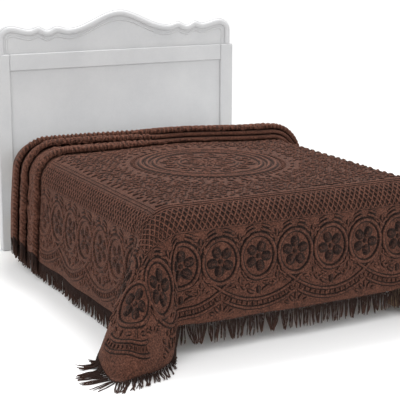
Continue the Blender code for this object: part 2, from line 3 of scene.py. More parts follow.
import bpy
import numpy as np
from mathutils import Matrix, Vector


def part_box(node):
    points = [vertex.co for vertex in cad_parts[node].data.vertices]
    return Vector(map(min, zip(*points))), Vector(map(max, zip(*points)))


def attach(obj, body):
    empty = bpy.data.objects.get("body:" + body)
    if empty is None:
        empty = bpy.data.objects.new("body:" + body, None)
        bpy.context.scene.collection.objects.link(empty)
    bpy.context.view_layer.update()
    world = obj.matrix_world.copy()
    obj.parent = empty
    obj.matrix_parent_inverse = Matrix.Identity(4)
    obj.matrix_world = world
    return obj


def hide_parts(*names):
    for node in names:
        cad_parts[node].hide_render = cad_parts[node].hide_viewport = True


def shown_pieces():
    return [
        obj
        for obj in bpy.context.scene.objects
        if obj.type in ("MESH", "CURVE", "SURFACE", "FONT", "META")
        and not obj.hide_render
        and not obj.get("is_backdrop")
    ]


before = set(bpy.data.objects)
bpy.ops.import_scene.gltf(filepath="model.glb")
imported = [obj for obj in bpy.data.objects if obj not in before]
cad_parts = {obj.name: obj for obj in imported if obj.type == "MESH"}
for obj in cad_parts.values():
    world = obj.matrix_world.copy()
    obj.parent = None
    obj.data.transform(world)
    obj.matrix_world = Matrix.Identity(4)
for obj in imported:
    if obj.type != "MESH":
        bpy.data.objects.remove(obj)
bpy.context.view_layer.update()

RNG = np.random.default_rng(7)

# ---- the drape, in the sizes the solids were made with ----
MATTRESS_WIDTH = 1.52
MATTRESS_LENGTH = 2.03
CLOTH = 0.003
TOP_Z = 0.680
EDGE_RADIUS = 0.131
FLARE = 0.030
HALF_ACROSS = 1.279
FOOT_REACH = 1.496
HEM_CORNER = 0.060
FLOOR_Z = CLOTH / 2
FLOOR_SOFT = 0.008
SIDE_SHARE = 0.8
INNER_X = MATTRESS_WIDTH / 2 - EDGE_RADIUS
INNER_Y = MATTRESS_LENGTH / 2 - EDGE_RADIUS
FLUTE = (
    # degrees, past the side, past the foot, ease
    (-22.0, 0.030, -0.404, 0.0),
    (-4.0, 0.080, -0.165, 0.0),
    (10.0, 0.300, -0.035, 0.02),
    (22.0, 0.450, 0.040, 0.07),
    (34.0, 0.480, 0.170, 0.03),
    (45.0, 0.430, 0.340, 0.0),
    (54.0, 0.330, 0.360, 0.06),
    (64.0, 0.190, 0.270, 0.14),
    (73.0, 0.075, 0.180, 0.14),
    (80.0, 0.035, 0.100, 0.05),
    (88.0, 0.030, 0.030, 0.0),
    (102.0, -0.213, 0.030, 0.0),
)
EASE_OVER = 0.60  # flat distance from the corner at which the ease is whole
FLUTE_BLEND_SIDE = 16.0
FLUTE_BLEND_FOOT = 9.0
# The pleats, lowest first. The four columns are the left hem, the left of the top, the middle and the right.
PLEATS = (
    # back edge
    # its level
    # front edge
    # its level
    (
        (0.500, 0.530, 0.575, 0.440),
        (0.000, 0.000, 0.000, 0.000),
        (0.390, 0.390, 0.430, 0.285),
        (0.012, 0.012, 0.012, 0.012),
    ),
    (
        (0.645, 0.645, 0.581, 0.446),
        (0.000, 0.000, 0.024, 0.024),
        (0.550, 0.508, 0.440, 0.292),
        (0.030, 0.041, 0.041, 0.041),
    ),
    (
        (0.800, 0.760, 0.587, 0.452),
        (0.000, 0.000, 0.048, 0.048),
        (0.690, 0.624, 0.447, 0.300),
        (0.032, 0.041, 0.070, 0.070),
    ),
)
PLEAT_END = ((0.833, 0.758, 0.592, 0.458), (0.030, 0.027, 0.073, 0.073))
PLEAT_START = 0.200
PLEAT_STATIONS = (-1.15, -0.50, 0.05, 0.62)  # where across the cloth the columns hold
BACK_TURN = 0.006
FRONT_TURN = (0.015, 0.012, 0.009, 0.009)
OVER_LEVEL = 0.025
OVER_BACK = 0.012
WAVES = ((0.0050, 0.61, 0.4), (0.0035, 0.37, 2.1))
WAVE_FALL = 0.40
TURN_STEPS = 6
RUN_STEPS = 8
PER_PLEAT = 3 * RUN_STEPS + 2 * TURN_STEPS
COVERED = 0.008  # cloth this close to the front edge above it doesn't show
NORMAL_STEP = 2e-4  # the step from which the sheet's normals are measured

MATTRESS_LOW, MATTRESS_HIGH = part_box("mattress")
BED_CENTRE = np.array([(MATTRESS_LOW.x + MATTRESS_HIGH.x) / 2, (MATTRESS_LOW.y + MATTRESS_HIGH.y) / 2, 0.0])


# ---- helpers
def smooth(t):
    """From 0 to 1 with level ends."""
    t = np.clip(t, 0.0, 1.0)
    return t * t * (3.0 - 2.0 * t)


def through(rows_x, rows_y, x):
    """A smooth curve through the table's rows, read at x."""
    rows_x = np.asarray(rows_x, float)
    rows_y = np.asarray(rows_y, float)
    slope = np.gradient(rows_y, rows_x)
    i = np.clip(np.searchsorted(rows_x, x, side="right") - 1, 0, len(rows_x) - 2)
    span = rows_x[i + 1] - rows_x[i]
    t = np.clip((x - rows_x[i]) / span, 0.0, 1.0)
    start = (1 + 2 * t) * (1 - t) ** 2 * rows_y[i] + t * (1 - t) ** 2 * span * slope[i]
    end = t * t * (3 - 2 * t) * rows_y[i + 1] + t * t * (t - 1) * span * slope[i + 1]
    return start + end


def unit(vectors):
    length = np.linalg.norm(vectors, axis=-1, keepdims=True)
    return vectors / np.maximum(length, 1e-12)


# ---- how the sheet hangs
def edge_section(past, level):
    """Outward distance, height and hanging length of cloth that bends over a straight edge."""
    reach_radius = EDGE_RADIUS + SIDE_SHARE * level
    full_turn = math.pi / 2 - FLARE
    turn = np.clip(past / reach_radius, 0.0, full_turn)
    hang = np.maximum(past - full_turn * reach_radius, 0.0)
    outward = np.minimum(past, 0.0) + reach_radius * np.sin(turn) + hang * math.sin(FLARE)
    height = (EDGE_RADIUS + level) * np.cos(turn) - EDGE_RADIUS - hang * math.cos(FLARE)
    return outward, height, hang


def wave(along, hang, from_corner):
    """How far the soft folds of the hanging sides stand out."""
    total = np.zeros_like(along)
    for reach, length, phase in WAVES:
        total = total + reach * (1.0 + np.sin(2 * math.pi * along / length + phase))
    return total * smooth(hang / WAVE_FALL) * smooth(from_corner / WAVE_FALL)


def flute_section(past_side, past_foot):
    """Where cloth past both edges goes, its angle round the corner and the way it falls."""
    rho = np.hypot(past_side, past_foot)
    degrees = np.degrees(np.arctan2(past_foot, past_side))
    angles, lean_side, lean_foot, ease = np.array(FLUTE).T
    rho = rho * (1 + through(angles, ease, degrees) * smooth(rho / EASE_OVER))
    lean_x = through(angles, lean_side, degrees)
    lean_y = through(angles, lean_foot, degrees)
    radians = np.radians(degrees)
    level_way = np.stack([np.cos(radians), np.sin(radians), np.zeros_like(radians)], -1)
    fall_way = unit(np.stack([lean_x, lean_y, -np.ones_like(lean_x)], -1))
    cosine = (level_way * fall_way).sum(-1)
    full_turn = np.arccos(np.clip(cosine, -1.0, 1.0))
    inward = unit(fall_way - cosine[..., None] * level_way)
    turn = np.clip(rho / EDGE_RADIUS, 0.0, full_turn)
    hang = np.maximum(rho - EDGE_RADIUS * full_turn, 0.0)
    bend = np.sin(turn)[..., None] * level_way + (1 - np.cos(turn))[..., None] * inward
    return EDGE_RADIUS * bend + hang[..., None] * fall_way, degrees, fall_way


def flute_share(degrees):
    """0 on the straight edges' sections, 1 on the flute's."""
    from_side = smooth((degrees - FLUTE[0][0]) / FLUTE_BLEND_SIDE)
    from_foot = smooth((FLUTE[-1][0] - degrees) / FLUTE_BLEND_FOOT)
    return np.where(degrees < 45.0, from_side, from_foot)


def place(across, along, level):
    """Where the middle of the sheet lies: flat distance across, flat distance along, level above the bed."""
    across, along, level = np.broadcast_arrays(across, along, level)
    hand = np.where(across < 0, -1.0, 1.0)
    past_side = np.abs(across) - INNER_X
    past_foot = -along - INNER_Y
    on_top = (past_side <= 0) & (past_foot <= 0)
    side_out, side_z, side_hang = edge_section(past_side, level)
    foot_out, foot_z, foot_hang = edge_section(past_foot, level)
    side_out = side_out + wave(along + 0.3 * hand, side_hang, -past_foot)
    foot_out = foot_out + wave(across, foot_hang, -past_side)
    side = np.stack([side_out, past_foot, side_z], -1)
    foot = np.stack([past_side, foot_out, foot_z], -1)
    flute, degrees, fall_way = flute_section(np.where(on_top, 1.0, past_side), past_foot)
    share = flute_share(degrees)[..., None]
    hanging = np.where((degrees < 45.0)[..., None], side, foot) * (1 - share) + flute * share
    local = np.where(on_top[..., None], np.stack([past_side, past_foot, level], -1), hanging)
    clear = TOP_Z + local[..., 2] - FLOOR_Z
    rounded = np.sqrt(clear * clear + FLOOR_SOFT * FLOOR_SOFT)
    spare = np.where(on_top, 0.0, (rounded - clear) / 2)
    lean = np.linalg.norm(fall_way[..., :2], axis=-1)
    outward = fall_way[..., :2] / np.maximum(lean, 1e-6)[..., None]
    run = spare * (1 - lean) / np.sqrt(np.maximum(1 - lean**2, 1e-6)) * share[..., 0]
    plan = local[..., :2] + run[..., None] * outward
    height = np.where(on_top, TOP_Z + level, FLOOR_Z + (clear + rounded) / 2)
    return np.stack([hand * (INNER_X + plan[..., 0]), -(INNER_Y + plan[..., 1]), height], -1)


# ---- the pleats
def run_between(start, end, steps):
    """(along, level) steps of one layer, from the start to the end."""
    t = np.arange(1, steps + 1) / steps
    along = start[0] + (end[0] - start[0]) * t
    level = start[1] + (end[1] - start[1]) * smooth(t)
    return list(zip(along, level))


def turn_points(edge, low_level, radius, facing):
    """(along, level) points of a half turn between two layers."""
    angles = np.linspace(-math.pi / 2, math.pi / 2, TURN_STEPS + 1)
    centre = edge - facing * radius
    return [(centre + facing * radius * math.cos(a), low_level + radius * (1 + math.sin(a))) for a in angles]


def pleat_path(column):
    """(along, level) from PLEAT_START to the head end, and whether each stretch can be seen."""
    path = [(PLEAT_START, 0.0)]
    shown = [1]
    for back, back_level, front, front_level in PLEATS:
        start = turn_points(back[column], back_level[column], BACK_TURN, 1)
        path += run_between(path[-1], start[0], RUN_STEPS)
        path += start[1:]
        fold = turn_points(front[column], front_level[column], FRONT_TURN[column], -1)
        path += run_between(path[-1], fold[0], RUN_STEPS)
        path += fold[1:]
        over = (back[column] - OVER_BACK, back_level[column] + OVER_LEVEL)
        path += run_between(path[-1], over, RUN_STEPS)
        shown += [1] * RUN_STEPS + [0] * TURN_STEPS + [0] * RUN_STEPS + [1] * TURN_STEPS + [1] * RUN_STEPS
    ends, levels = PLEAT_END
    path += run_between(path[-1], (ends[column], levels[column]), 1)
    return np.array(path), np.array(shown + [1])


def mixed(across, values):
    """The columns' values, or whole paths, mixed for each of these places across the cloth."""
    total = values[0]
    for column in range(1, len(PLEAT_STATIONS)):
        before, here = PLEAT_STATIONS[column - 1], PLEAT_STATIONS[column]
        share = smooth((across - before) / (here - before))
        if np.ndim(values[0]):
            share = share[:, None, None]
        total = total * (1 - share) + values[column] * share
    return total


PATHS = [pleat_path(column)[0] for column in range(len(PLEAT_STATIONS))]
SHOWN = pleat_path(0)[1]


def follow(across, reach):
    """(along, level, whether it shows) of the cloth at this flat distance toward the head."""
    along = np.array(reach, float)
    level = np.zeros_like(along)
    seen = np.ones(along.shape, bool)
    folded = np.nonzero(along > PLEAT_START)[0]
    if len(folded) == 0:
        return along, level, seen
    rows = mixed(across[folded], PATHS)
    steps = np.linalg.norm(np.diff(rows, axis=1), axis=2)
    length = np.concatenate([np.zeros((len(rows), 1)), np.cumsum(steps, axis=1)], axis=1)
    past = along[folded] - PLEAT_START
    k = np.clip((length < past[:, None]).sum(axis=1) - 1, 0, steps.shape[1] - 1)
    pick = np.arange(len(rows))
    t = (past - length[pick, k]) / steps[pick, k]
    seen[folded] = (SHOWN[k + 1] > 0) & (t <= 1.0)
    t = np.clip(t, 0, 1)[:, None]
    spot = rows[pick, k] * (1 - t) + rows[pick, k + 1] * t
    # Cloth just under the next pleat's front edge doesn't show either.
    following = np.minimum((k + RUN_STEPS + TURN_STEPS) // PER_PLEAT, len(PLEATS))
    for number, (_, _, front, _) in enumerate(PLEATS):
        edge = mixed(across[folded], front) - COVERED
        hidden = (following == number) & (spot[:, 0] > edge) & (k % PER_PLEAT < RUN_STEPS)
        before = (k // PER_PLEAT == number - 1) & (k % PER_PLEAT >= 2 * RUN_STEPS + TURN_STEPS)
        hidden |= before & (spot[:, 0] > edge)
        seen[folded] &= ~hidden
    along[folded] = spot[:, 0]
    level[folded] = spot[:, 1]
    return along, level, seen


def sheet_point(across, reach):
    """Middle of the sheet at this flat place."""
    along, level, _ = follow(across, reach)
    return place(across, along, level)


def sheet_frame(across, reach):
    """Middle point and outward normal of the sheet."""
    here = sheet_point(across, reach)
    by_across = sheet_point(across + NORMAL_STEP, reach) - here
    by_reach = sheet_point(across, reach + NORMAL_STEP) - here
    return here, unit(np.cross(by_across, by_reach))


# ---- making meshes
def link_object(name, data):
    """An object in the scene that holds this mesh, lamp or camera."""
    obj = bpy.data.objects.new(name, data)
    bpy.context.scene.collection.objects.link(obj)
    return obj


def new_object(name, points, faces, uv=None, tone=None, sharp=None):
    """A smooth mesh piece on the part's body, with its flat places and tones where it has them."""
    mesh = bpy.data.meshes.new(name)
    mesh.from_pydata(np.asarray(points).tolist(), [], faces)
    if uv is not None:
        layer = mesh.uv_layers.new(name="flat")
        index = np.empty(len(mesh.loops), np.int32)
        mesh.loops.foreach_get("vertex_index", index)
        layer.data.foreach_set("uv", np.asarray(uv, np.float32)[index].ravel())
    if tone is not None:
        mesh.attributes.new("tone", "FLOAT", "POINT").data.foreach_set("value", np.asarray(tone, np.float32))
    mesh.shade_smooth()
    if sharp is not None:
        mesh.set_sharp_from_angle(angle=math.radians(sharp))
    obj = link_object(name, mesh)
    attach(obj, "root")
    return obj


def tube_faces(rings, sides, start=0, closed=False, flip=False):
    """Quads between rings of points, with the two ends unless it's closed; flip turns them all over."""
    faces = []
    for k in range(rings if closed else rings - 1):
        a = start + k * sides
        b = start + (k + 1) % rings * sides
        for j in range(sides):
            after = (j + 1) % sides
            faces.append([a + j, b + j, b + after, a + after])
            if flip:
                faces[-1][1], faces[-1][3] = faces[-1][3], faces[-1][1]
    if not closed:
        first = list(range(start, start + sides))
        last = [corner + (rings - 1) * sides for corner in first]
        faces += [first[::-1], last] if flip else [first, last[::-1]]
    return faces


def grid_faces(columns, rows, offset=0, flip=False):
    """Quads between the crossings of a grid of points."""
    i, j = np.meshgrid(np.arange(columns - 1), np.arange(rows - 1), indexing="ij")
    a = (offset + i * rows + j).ravel()
    quads = np.stack([a, a + rows, a + rows + 1, a + 1], -1)
    return (quads[:, ::-1] if flip else quads).tolist()


# ---- the sheet
SHEET_STEP = 0.0125
FLAT_STEP = 1.15  # how much longer the steps are where the cloth lies flat
SHEET_LOWEST = 0.0002
UV_START = 2.0
BEND = EDGE_RADIUS * (math.pi / 2 - FLARE)
GROUND_TONE = 0.60
SIDE_SOFT = 0.50  # share by which the grooves' painted shade is fainter on the hanging sides
PLEAT_SOFT = 0.40  # and on the pleats
PLEAT_LIGHT = 0.16  # how much lighter the pleats' tone is: painted light, as on folds lit from above
PLEAT_BLEND = 0.3
LATTICE_SHADE = 0.22  # how much darker the ground is inside the lattice: painted shade in the holes between its lines
LATTICE_BLEND = 0.006
CORNER_LIGHT = 0.7  # the share of that painted shade left out over the flutes
CORNER_BLEND = 0.05
FIELD_DARK = 0.06
FIELD_BLEND = 0.01


def even(start, end, step):
    """Even places after the start, up to the end, no further apart than the step."""
    count = max(1, math.ceil(abs(end - start) / step))
    return list(start + (end - start) * np.arange(1, count + 1) / count)


def lines_across(step):
    """The sheet's lines from the left hem to the right one."""
    half = [0.0] + even(0.0, INNER_X, step * FLAT_STEP)
    half += even(INNER_X, INNER_X + BEND, step)
    half += even(INNER_X + BEND, HALF_ACROSS, step)
    return np.array([-x for x in reversed(half[1:])] + half)


def lines_along(step):
    """The sheet's lines from the foot hem to the first pleat."""
    lines = [-FOOT_REACH] + even(-FOOT_REACH, -INNER_Y - BEND, step)
    lines += even(-INNER_Y - BEND, -INNER_Y, step)
    lines += even(-INNER_Y, PLEAT_START, step * FLAT_STEP)
    return np.array(lines)


def from_corner_middle(across, along):
    """How far past the middle of the hem's round corner these places are, in its radius."""
    return (np.abs(across) - HALF_ACROSS) / HEM_CORNER + 1, (-along - FOOT_REACH) / HEM_CORNER + 1


def round_corner(across, along):
    """The flat places, with the foot hem's square corners pulled in to round ones."""
    hand = np.sign(across)
    a, b = from_corner_middle(across, along)
    inside = (a > 0) & (b > 0)
    length = np.where(inside, np.hypot(a, b), 1.0)
    share = np.where(inside, np.maximum(a, b) / np.maximum(length, 1e-9), 1.0)
    round_across = hand * (HALF_ACROSS + HEM_CORNER * (a * share - 1))
    round_along = -(FOOT_REACH + HEM_CORNER * (b * share - 1))
    return np.where(inside, round_across, across), np.where(inside, round_along, along)


def sheet_grid(step):
    """Flat across, along, level and flat reach at each crossing of the sheet's lines."""
    across = lines_across(step)
    along = lines_along(step)
    pleats = mixed(across, PATHS)
    steps = np.linalg.norm(np.diff(pleats, axis=1), axis=2)
    reach = PLEAT_START + np.cumsum(steps, axis=1)
    flat_across, flat_along = np.meshgrid(across, along, indexing="ij")
    flat_across, flat_along = round_corner(flat_across, flat_along)
    folded_across = np.repeat(across[:, None], reach.shape[1], axis=1)
    whole_across = np.concatenate([flat_across, folded_across], axis=1)
    whole_along = np.concatenate([flat_along, pleats[:, 1:, 0]], axis=1)
    level = np.concatenate([np.zeros_like(flat_along), pleats[:, 1:, 1]], axis=1)
    whole_reach = np.concatenate([flat_along, reach], axis=1)
    return whole_across, whole_along, level, whole_reach


def ground_tone(across, along, reach):
    """Tone of the plain cloth: painted shade inside the lattice, darker in the field, painted light on the
    pleats.
    """
    from_hem = np.minimum(HALF_ACROSS - np.abs(across), FOOT_REACH + reach)
    in_lattice = smooth((from_hem - LATTICE[0]) / LATTICE_BLEND)
    in_lattice = in_lattice * smooth((LATTICE[1] - from_hem) / LATTICE_BLEND)
    on_corner = smooth((np.abs(across) - INNER_X) / CORNER_BLEND) * smooth((-along - INNER_Y) / CORNER_BLEND)
    in_field = smooth((from_hem - FIELD_FROM) / FIELD_BLEND)
    # Painted shade in the lattice's holes, less of it over the flutes; painted light on the pleats.
    tone = GROUND_TONE - LATTICE_SHADE * in_lattice * (1 - CORNER_LIGHT * on_corner)
    return tone - FIELD_DARK * in_field + PLEAT_LIGHT * smooth((reach - PLEAT_START) / PLEAT_BLEND)


def make_sheet():
    """The cloth as two skins on either side of its middle surface, joined along the rim."""
    across, along, level, reach = sheet_grid(SHEET_STEP)
    middle = place(across, along, level)
    normals = unit(np.cross(np.gradient(middle, axis=0), np.gradient(middle, axis=1)))
    columns, rows = across.shape
    points = np.concatenate([
        (middle + normals * CLOTH / 2).reshape(-1, 3),
        (middle - normals * CLOTH / 2).reshape(-1, 3),
    ])
    points[:, 2] = np.maximum(points[:, 2], SHEET_LOWEST)
    under = columns * rows
    faces = grid_faces(columns, rows) + grid_faces(columns, rows, under, True)
    rim = [(i, 0) for i in range(columns)] + [(columns - 1, j) for j in range(1, rows)]
    rim += [(i, rows - 1) for i in range(columns - 2, -1, -1)] + [(0, j) for j in range(rows - 2, 0, -1)]
    for (i, j), (m, n) in zip(rim, rim[1:] + rim[:1]):
        a, b = i * rows + j, m * rows + n
        faces.append([b, a, under + a, under + b])
    uv = np.stack([across + UV_START, reach + UV_START], -1).reshape(-1, 2)
    tone = ground_tone(across, along, reach).ravel()
    return new_object(
        "bedspread_sheet", points + BED_CENTRE, faces, np.concatenate([uv, uv]), np.concatenate([tone, tone])
    )


# ---- tufted lines
PITCH = 0.1976  # between the foot border's rings
SIDE_PITCH = 0.192  # between the side borders' rings
SIDE_RINGS = 14  # their count, the corner's ring included
FOOT_SHIFT = -0.03  # the foot border's rings, from the middle line
RING_DEPTH = 0.276  # from the hem to the rings' middles
RING_HALF = (0.0895, 0.103)  # half of a ring's width and height
LATTICE = (0.431, 0.552)  # the lattice's edges, from the hem
LATTICE_CELL = (0.028, 0.040)
FRAME_LINES = (0.566, 0.582)
FIELD_FROM = 0.600
HEAD_REACH = 1.42  # where the lines along the sides end
MEDALLION = (-0.03, -0.15)
STRETCH = 1.05  # the medallion is this much longer than wide
TUFT_LOWEST = 0.0003
END_SHARE = 0.35  # a line's size at its ends
BEAD_SHARE = 0.20  # how far a beaded line's height swings
SIDE_BLEND = (0.1, 0.2)  # flat distances over which the hanging side's softer tones come in
PETAL_REACH = 0.043
PETAL_STRETCH = 1.08

# Each profile's rows: place across the line, share of its height (under 0 is a depth in metres), tone.
# The tone is painted shade, 0 in the grooves beside the line, and painted light on its crest.
WIDE = (
    (-1.00, -0.0004, 0.40),
    (-0.88, 0.08, 0.00),
    (-0.58, 0.16, 0.00),
    (-0.34, 0.86, 0.62),
    (0.34, 0.86, 0.62),
    (0.58, 0.16, 0.00),
    (0.88, 0.08, 0.00),
    (1.00, -0.0004, 0.40),
)
NARROW = (
    (-1.00, -0.0004, 0.00),
    (-0.62, 0.20, 0.00),
    (-0.22, 0.95, 0.72),
    (0.22, 0.95, 0.72),
    (0.62, 0.20, 0.00),
    (1.00, -0.0004, 0.00),
)

# Each kind of line. Its half width takes in the grooves beside it.
RING = dict(half_width=0.0150, height=0.0100, closed=True)
# Petals and their eye have their tone halved: painted shade of their deep pile.
PETAL = dict(half_width=0.0255, height=0.0120, step=0.006, shade=0.50)
EYE = dict(half_width=0.0130, height=0.0080, step=0.005, shade=0.50)
KNOT = dict(half_width=0.0140, height=0.0080, shade=0.50)
LEAF = dict(half_width=0.0115, height=0.0080)
STALK = dict(half_width=0.0115, height=0.0075)
CROWN = dict(half_width=0.0090, height=0.0065)
SWAG = dict(half_width=0.0115, height=0.0085)
CORNER_SWAG = dict(half_width=0.0120, height=0.0085)
BLOCK = dict(half_width=0.0110, height=0.0080, step=0.005)
KNOB = dict(half_width=0.0115, height=0.0085, step=0.0055)
SPRIG = dict(half_width=0.0092, height=0.0068, step=0.006)
NET = dict(half_width=0.0085, height=0.0070, step=0.0098, bead=0.0244)
NET_EDGE = dict(half_width=0.0050, height=0.0035, step=0.012)
FRAME_LINE = dict(half_width=0.0065, height=0.0042, step=0.0066, bead=0.0132)
SCROLL = dict(half_width=0.0105, height=0.0080)
LOOP = dict(half_width=0.0105, height=0.0075, closed=True)
BUTTON = dict(half_width=0.0075, height=0.0050, closed=True, step=0.006)
FIELD_LEAF = dict(half_width=0.0105, height=0.0080, step=0.0075)


class Tufts:
    """Raised lines of chenille, gathered in flat places and laid on the sheet all at once."""

    def __init__(self, name, profile):
        self.name = name
        self.profile = np.array(profile)
        self.flat = []
        self.rise = []
        self.tone = []
        self.uv = []
        self.faces = []
        self.count = 0

    def add(self, points, half_width, height, closed=False, step=0.008, bead=None, shade=1.0):
        """Lay a line through these flat points, wherever the cloth shows.

        closed joins its ends, bead makes it swell at this pitch and shade darkens it.
        """
        points = np.asarray(points, float)
        if closed:
            points = np.concatenate([points, points[:1]])
        legs = np.linalg.norm(np.diff(points, axis=0), axis=1)
        run = np.concatenate([[0.0], np.cumsum(legs)])
        count = max(3, int(round(run[-1] / step)) + 1)
        where = np.linspace(0, run[-1], count)
        line = np.stack([np.interp(where, run, points[:, 0]), np.interp(where, run, points[:, 1])], -1)
        _, _, seen = follow(line[:, 0], line[:, 1])
        if closed and seen.all():
            self._lay(line[:-1], where[:-1], half_width, height, True, bead, shade)
            return
        edges = np.flatnonzero(np.diff(np.concatenate([[0], seen.astype(int), [0]])))
        for first, last in zip(edges[::2], edges[1::2]):
            if last - first >= 3:
                self._lay(line[first:last], where[first:last], half_width, height, False, bead, shade)

    def _lay(self, line, where, half_width, height, closed, bead, shade):
        n, m = len(line), len(self.profile)
        if closed:
            ahead, behind = np.roll(line, -1, axis=0), np.roll(line, 1, axis=0)
            swell = np.ones(n)
        else:
            ahead = np.concatenate([line[1:], line[-1:]])
            behind = np.concatenate([line[:1], line[:-1]])
            end = np.minimum(where - where[0], where[-1] - where) / half_width
            swell = END_SHARE + (1 - END_SHARE) * np.sqrt(np.clip(1 - (1 - np.clip(end, 0, 1)) ** 2, 0, 1))
        rise = height * swell
        if bead:
            rise = rise * (1 - BEAD_SHARE + BEAD_SHARE * np.cos(2 * math.pi * where / bead))
        way = unit(ahead - behind)
        side = np.stack([-way[:, 1], way[:, 0]], -1)
        offset = self.profile[:, 0] * half_width
        flat = line[:, None, :] + side[:, None, :] * (offset[None, :] * swell[:, None])[..., None]
        share = self.profile[:, 1]
        lift = np.where(share < 0, share, rise[:, None] * share[None, :])
        self.flat.append(flat.reshape(-1, 2))
        self.rise.append(lift.reshape(-1))
        self.tone.append(np.broadcast_to(self.profile[:, 2] * shade, (n, m)).reshape(-1))
        across = np.broadcast_to(offset[None, :], (n, m))
        self.uv.append(np.stack([np.broadcast_to(where[:, None], (n, m)), across], -1).reshape(-1, 2))
        self.faces += tube_faces(n, m, self.count, closed)
        self.count += n * m

    def build(self):
        """The object with every line laid; the painted shade of its grooves is fainter on the sides and the
        pleats, and the pleats get painted light.
        """
        flat = np.concatenate(self.flat)
        rise = np.concatenate(self.rise)
        tone = np.concatenate(self.tone)
        past_bend = smooth((np.abs(flat[:, 0]) - INNER_X - BEND) / SIDE_BLEND[0])
        on_side = past_bend * smooth((flat[:, 1] + INNER_Y) / SIDE_BLEND[1])
        # The painted groove shade eases toward the ground's tone on the hanging sides.
        tone = tone + (GROUND_TONE - tone) * SIDE_SOFT * on_side
        on_pleat = smooth((flat[:, 1] - PLEAT_START) / PLEAT_BLEND)
        # On the pleats the painted groove shade is fainter, and painted light is added.
        tone = tone + (GROUND_TONE - tone) * PLEAT_SOFT * on_pleat + PLEAT_LIGHT * on_pleat
        middle, normal = sheet_frame(flat[:, 0], flat[:, 1])
        points = middle + normal * (CLOTH / 2 + rise)[:, None]
        points[:, 2] = np.maximum(points[:, 2], TUFT_LOWEST)
        return new_object(self.name, points + BED_CENTRE, self.faces, np.concatenate(self.uv), tone)


def toward(centre, reach, degrees, stretch=1.0):
    """The flat place at this distance and angle from a centre."""
    angle = math.radians(degrees)
    return centre[0] + reach * math.cos(angle), centre[1] + reach * stretch * math.sin(angle)


def oval(centre, half, start=0.0, end=360.0, count=64):
    """Places round an oval, or along a part of it."""
    angles = np.radians(np.linspace(start, end, count, endpoint=end - start < 360))
    return np.stack([centre[0] + half[0] * np.cos(angles), centre[1] + half[1] * np.sin(angles)], -1)


def bar(centre, length, degrees, bow=0.0):
    """A short line through centre, bowed to one side."""
    t = np.linspace(-0.5, 0.5, 9)
    x = t * length
    y = bow * (1 - 4 * t * t)
    c, s = math.cos(math.radians(degrees)), math.sin(math.radians(degrees))
    return np.stack([centre[0] + c * x - s * y, centre[1] + s * x + c * y], -1)


def foot_band(points):
    """Flat places from (place along the border, distance from its hem)."""
    return points - (0, FOOT_REACH)


def left_band(points):
    return points[:, ::-1] - (HALF_ACROSS, 0)


def right_band(points):
    return points[:, ::-1] * (-1, 1) + (HALF_ACROSS, 0)


def plain_band(points):
    """Points that are flat places already."""
    return points


# ---- the border
# The arcs over a ring: from, to (degrees), distance outside it.
RING_ARCS = ((28, 50, 0.0260), (56, 84, 0.0240))
CROWN_ARCS = ((60, 82), (98, 120))
CROWN_OUT = 0.043
# Upright bars on a line across the border: distance from the hem, length.
BETWEEN_RINGS = ((0.376, 0.036), (0.176, 0.032))
SPRAY_STALKS = ((0.063, 0.036), (0.110, 0.024))
# Leaves on both hands of such a line: aside, distance from the hem, length, degrees, bow, height.
SWAG_LEAVES = (
    (0.040, 0.117, 0.046, 28, 0.004, 0.0080),
    (0.037, 0.146, 0.032, -22, 0.0, 0.0070),
    (0.083, 0.140, 0.038, 48, 0.0, 0.0080),
)
SPRAY_LEAVES = (
    (0.023, 0.053, 0.036, -38, 0.0, 0.0070),
    (0.048, 0.038, 0.028, -62, 0.0, 0.0070),
    (0.030, 0.088, 0.026, -50, 0.0, 0.0070),
)
# A swag's two lines: half length in pitches, distance from the hem, how much more a pitch away, points.
SWAG_LINES = ((1.40, 0.073, 0.069, 61), (0.97, 0.0335, 0.064, 41))
SWAG_BLOCKS = (0.0535, 0.0665, 6.9)  # the same two distances for the blocks, and how many fill a pitch
BLOCK_LENGTH = 0.021
SWAG_KNOT = (0.118, 0.040)
# The corner's round swag, leaves and blocks, outward from its ring's middle.
CORNER_RING = (0.098, 0.098)
CORNER_SWAGS = (0.168, 0.216)
CORNER_SPAN = 52  # degrees to either hand
CORNER_BLOCKS = (0.192, 7.9)  # distance, degrees between two
CORNER_LEAVES = (0.134, 22, 0.036)  # distance, degrees between two, length
# Turns of the flowers: at the middle line, at the corner, from ring to ring on the foot and the sides.
FLOWER_TURN = 18.0
CORNER_TURN = 27
FOOT_TURN = 23
SIDE_TURN = 31
# The knobs over the pleats' front edges.
KNOB_PITCH = 0.0245
KNOB_EDGE = 0.012
KNOB_SHIFT = 0.004
KNOB_SLANT = (70, 110)
KNOB_LENGTH = (0.034, 0.044)


def petals(tufts, band, centre, turn):
    """Five puffy petals round a small eye."""
    for petal in range(5):
        angle = turn + 72 * petal
        tufts.add(band(bar(toward(centre, PETAL_REACH, angle, PETAL_STRETCH), 0.052, angle)), **PETAL)
    tufts.add(band(bar(centre, 0.024, 90.0)), **EYE)


def uprights(tufts, band, at, rows):
    for depth, length in rows:
        tufts.add(band(bar((at, depth), length, 90.0)), **STALK)


def leaves(tufts, band, at, rows, upright):
    """Leaves on both hands of a line across the border; their degrees count from level or upright."""
    for hand in (-1, 1):
        for aside, depth, length, degrees, bow, height in rows:
            leaf = bar((at + hand * aside, depth), length, upright + hand * degrees, hand * bow)
            tufts.add(band(leaf), LEAF["half_width"], height)


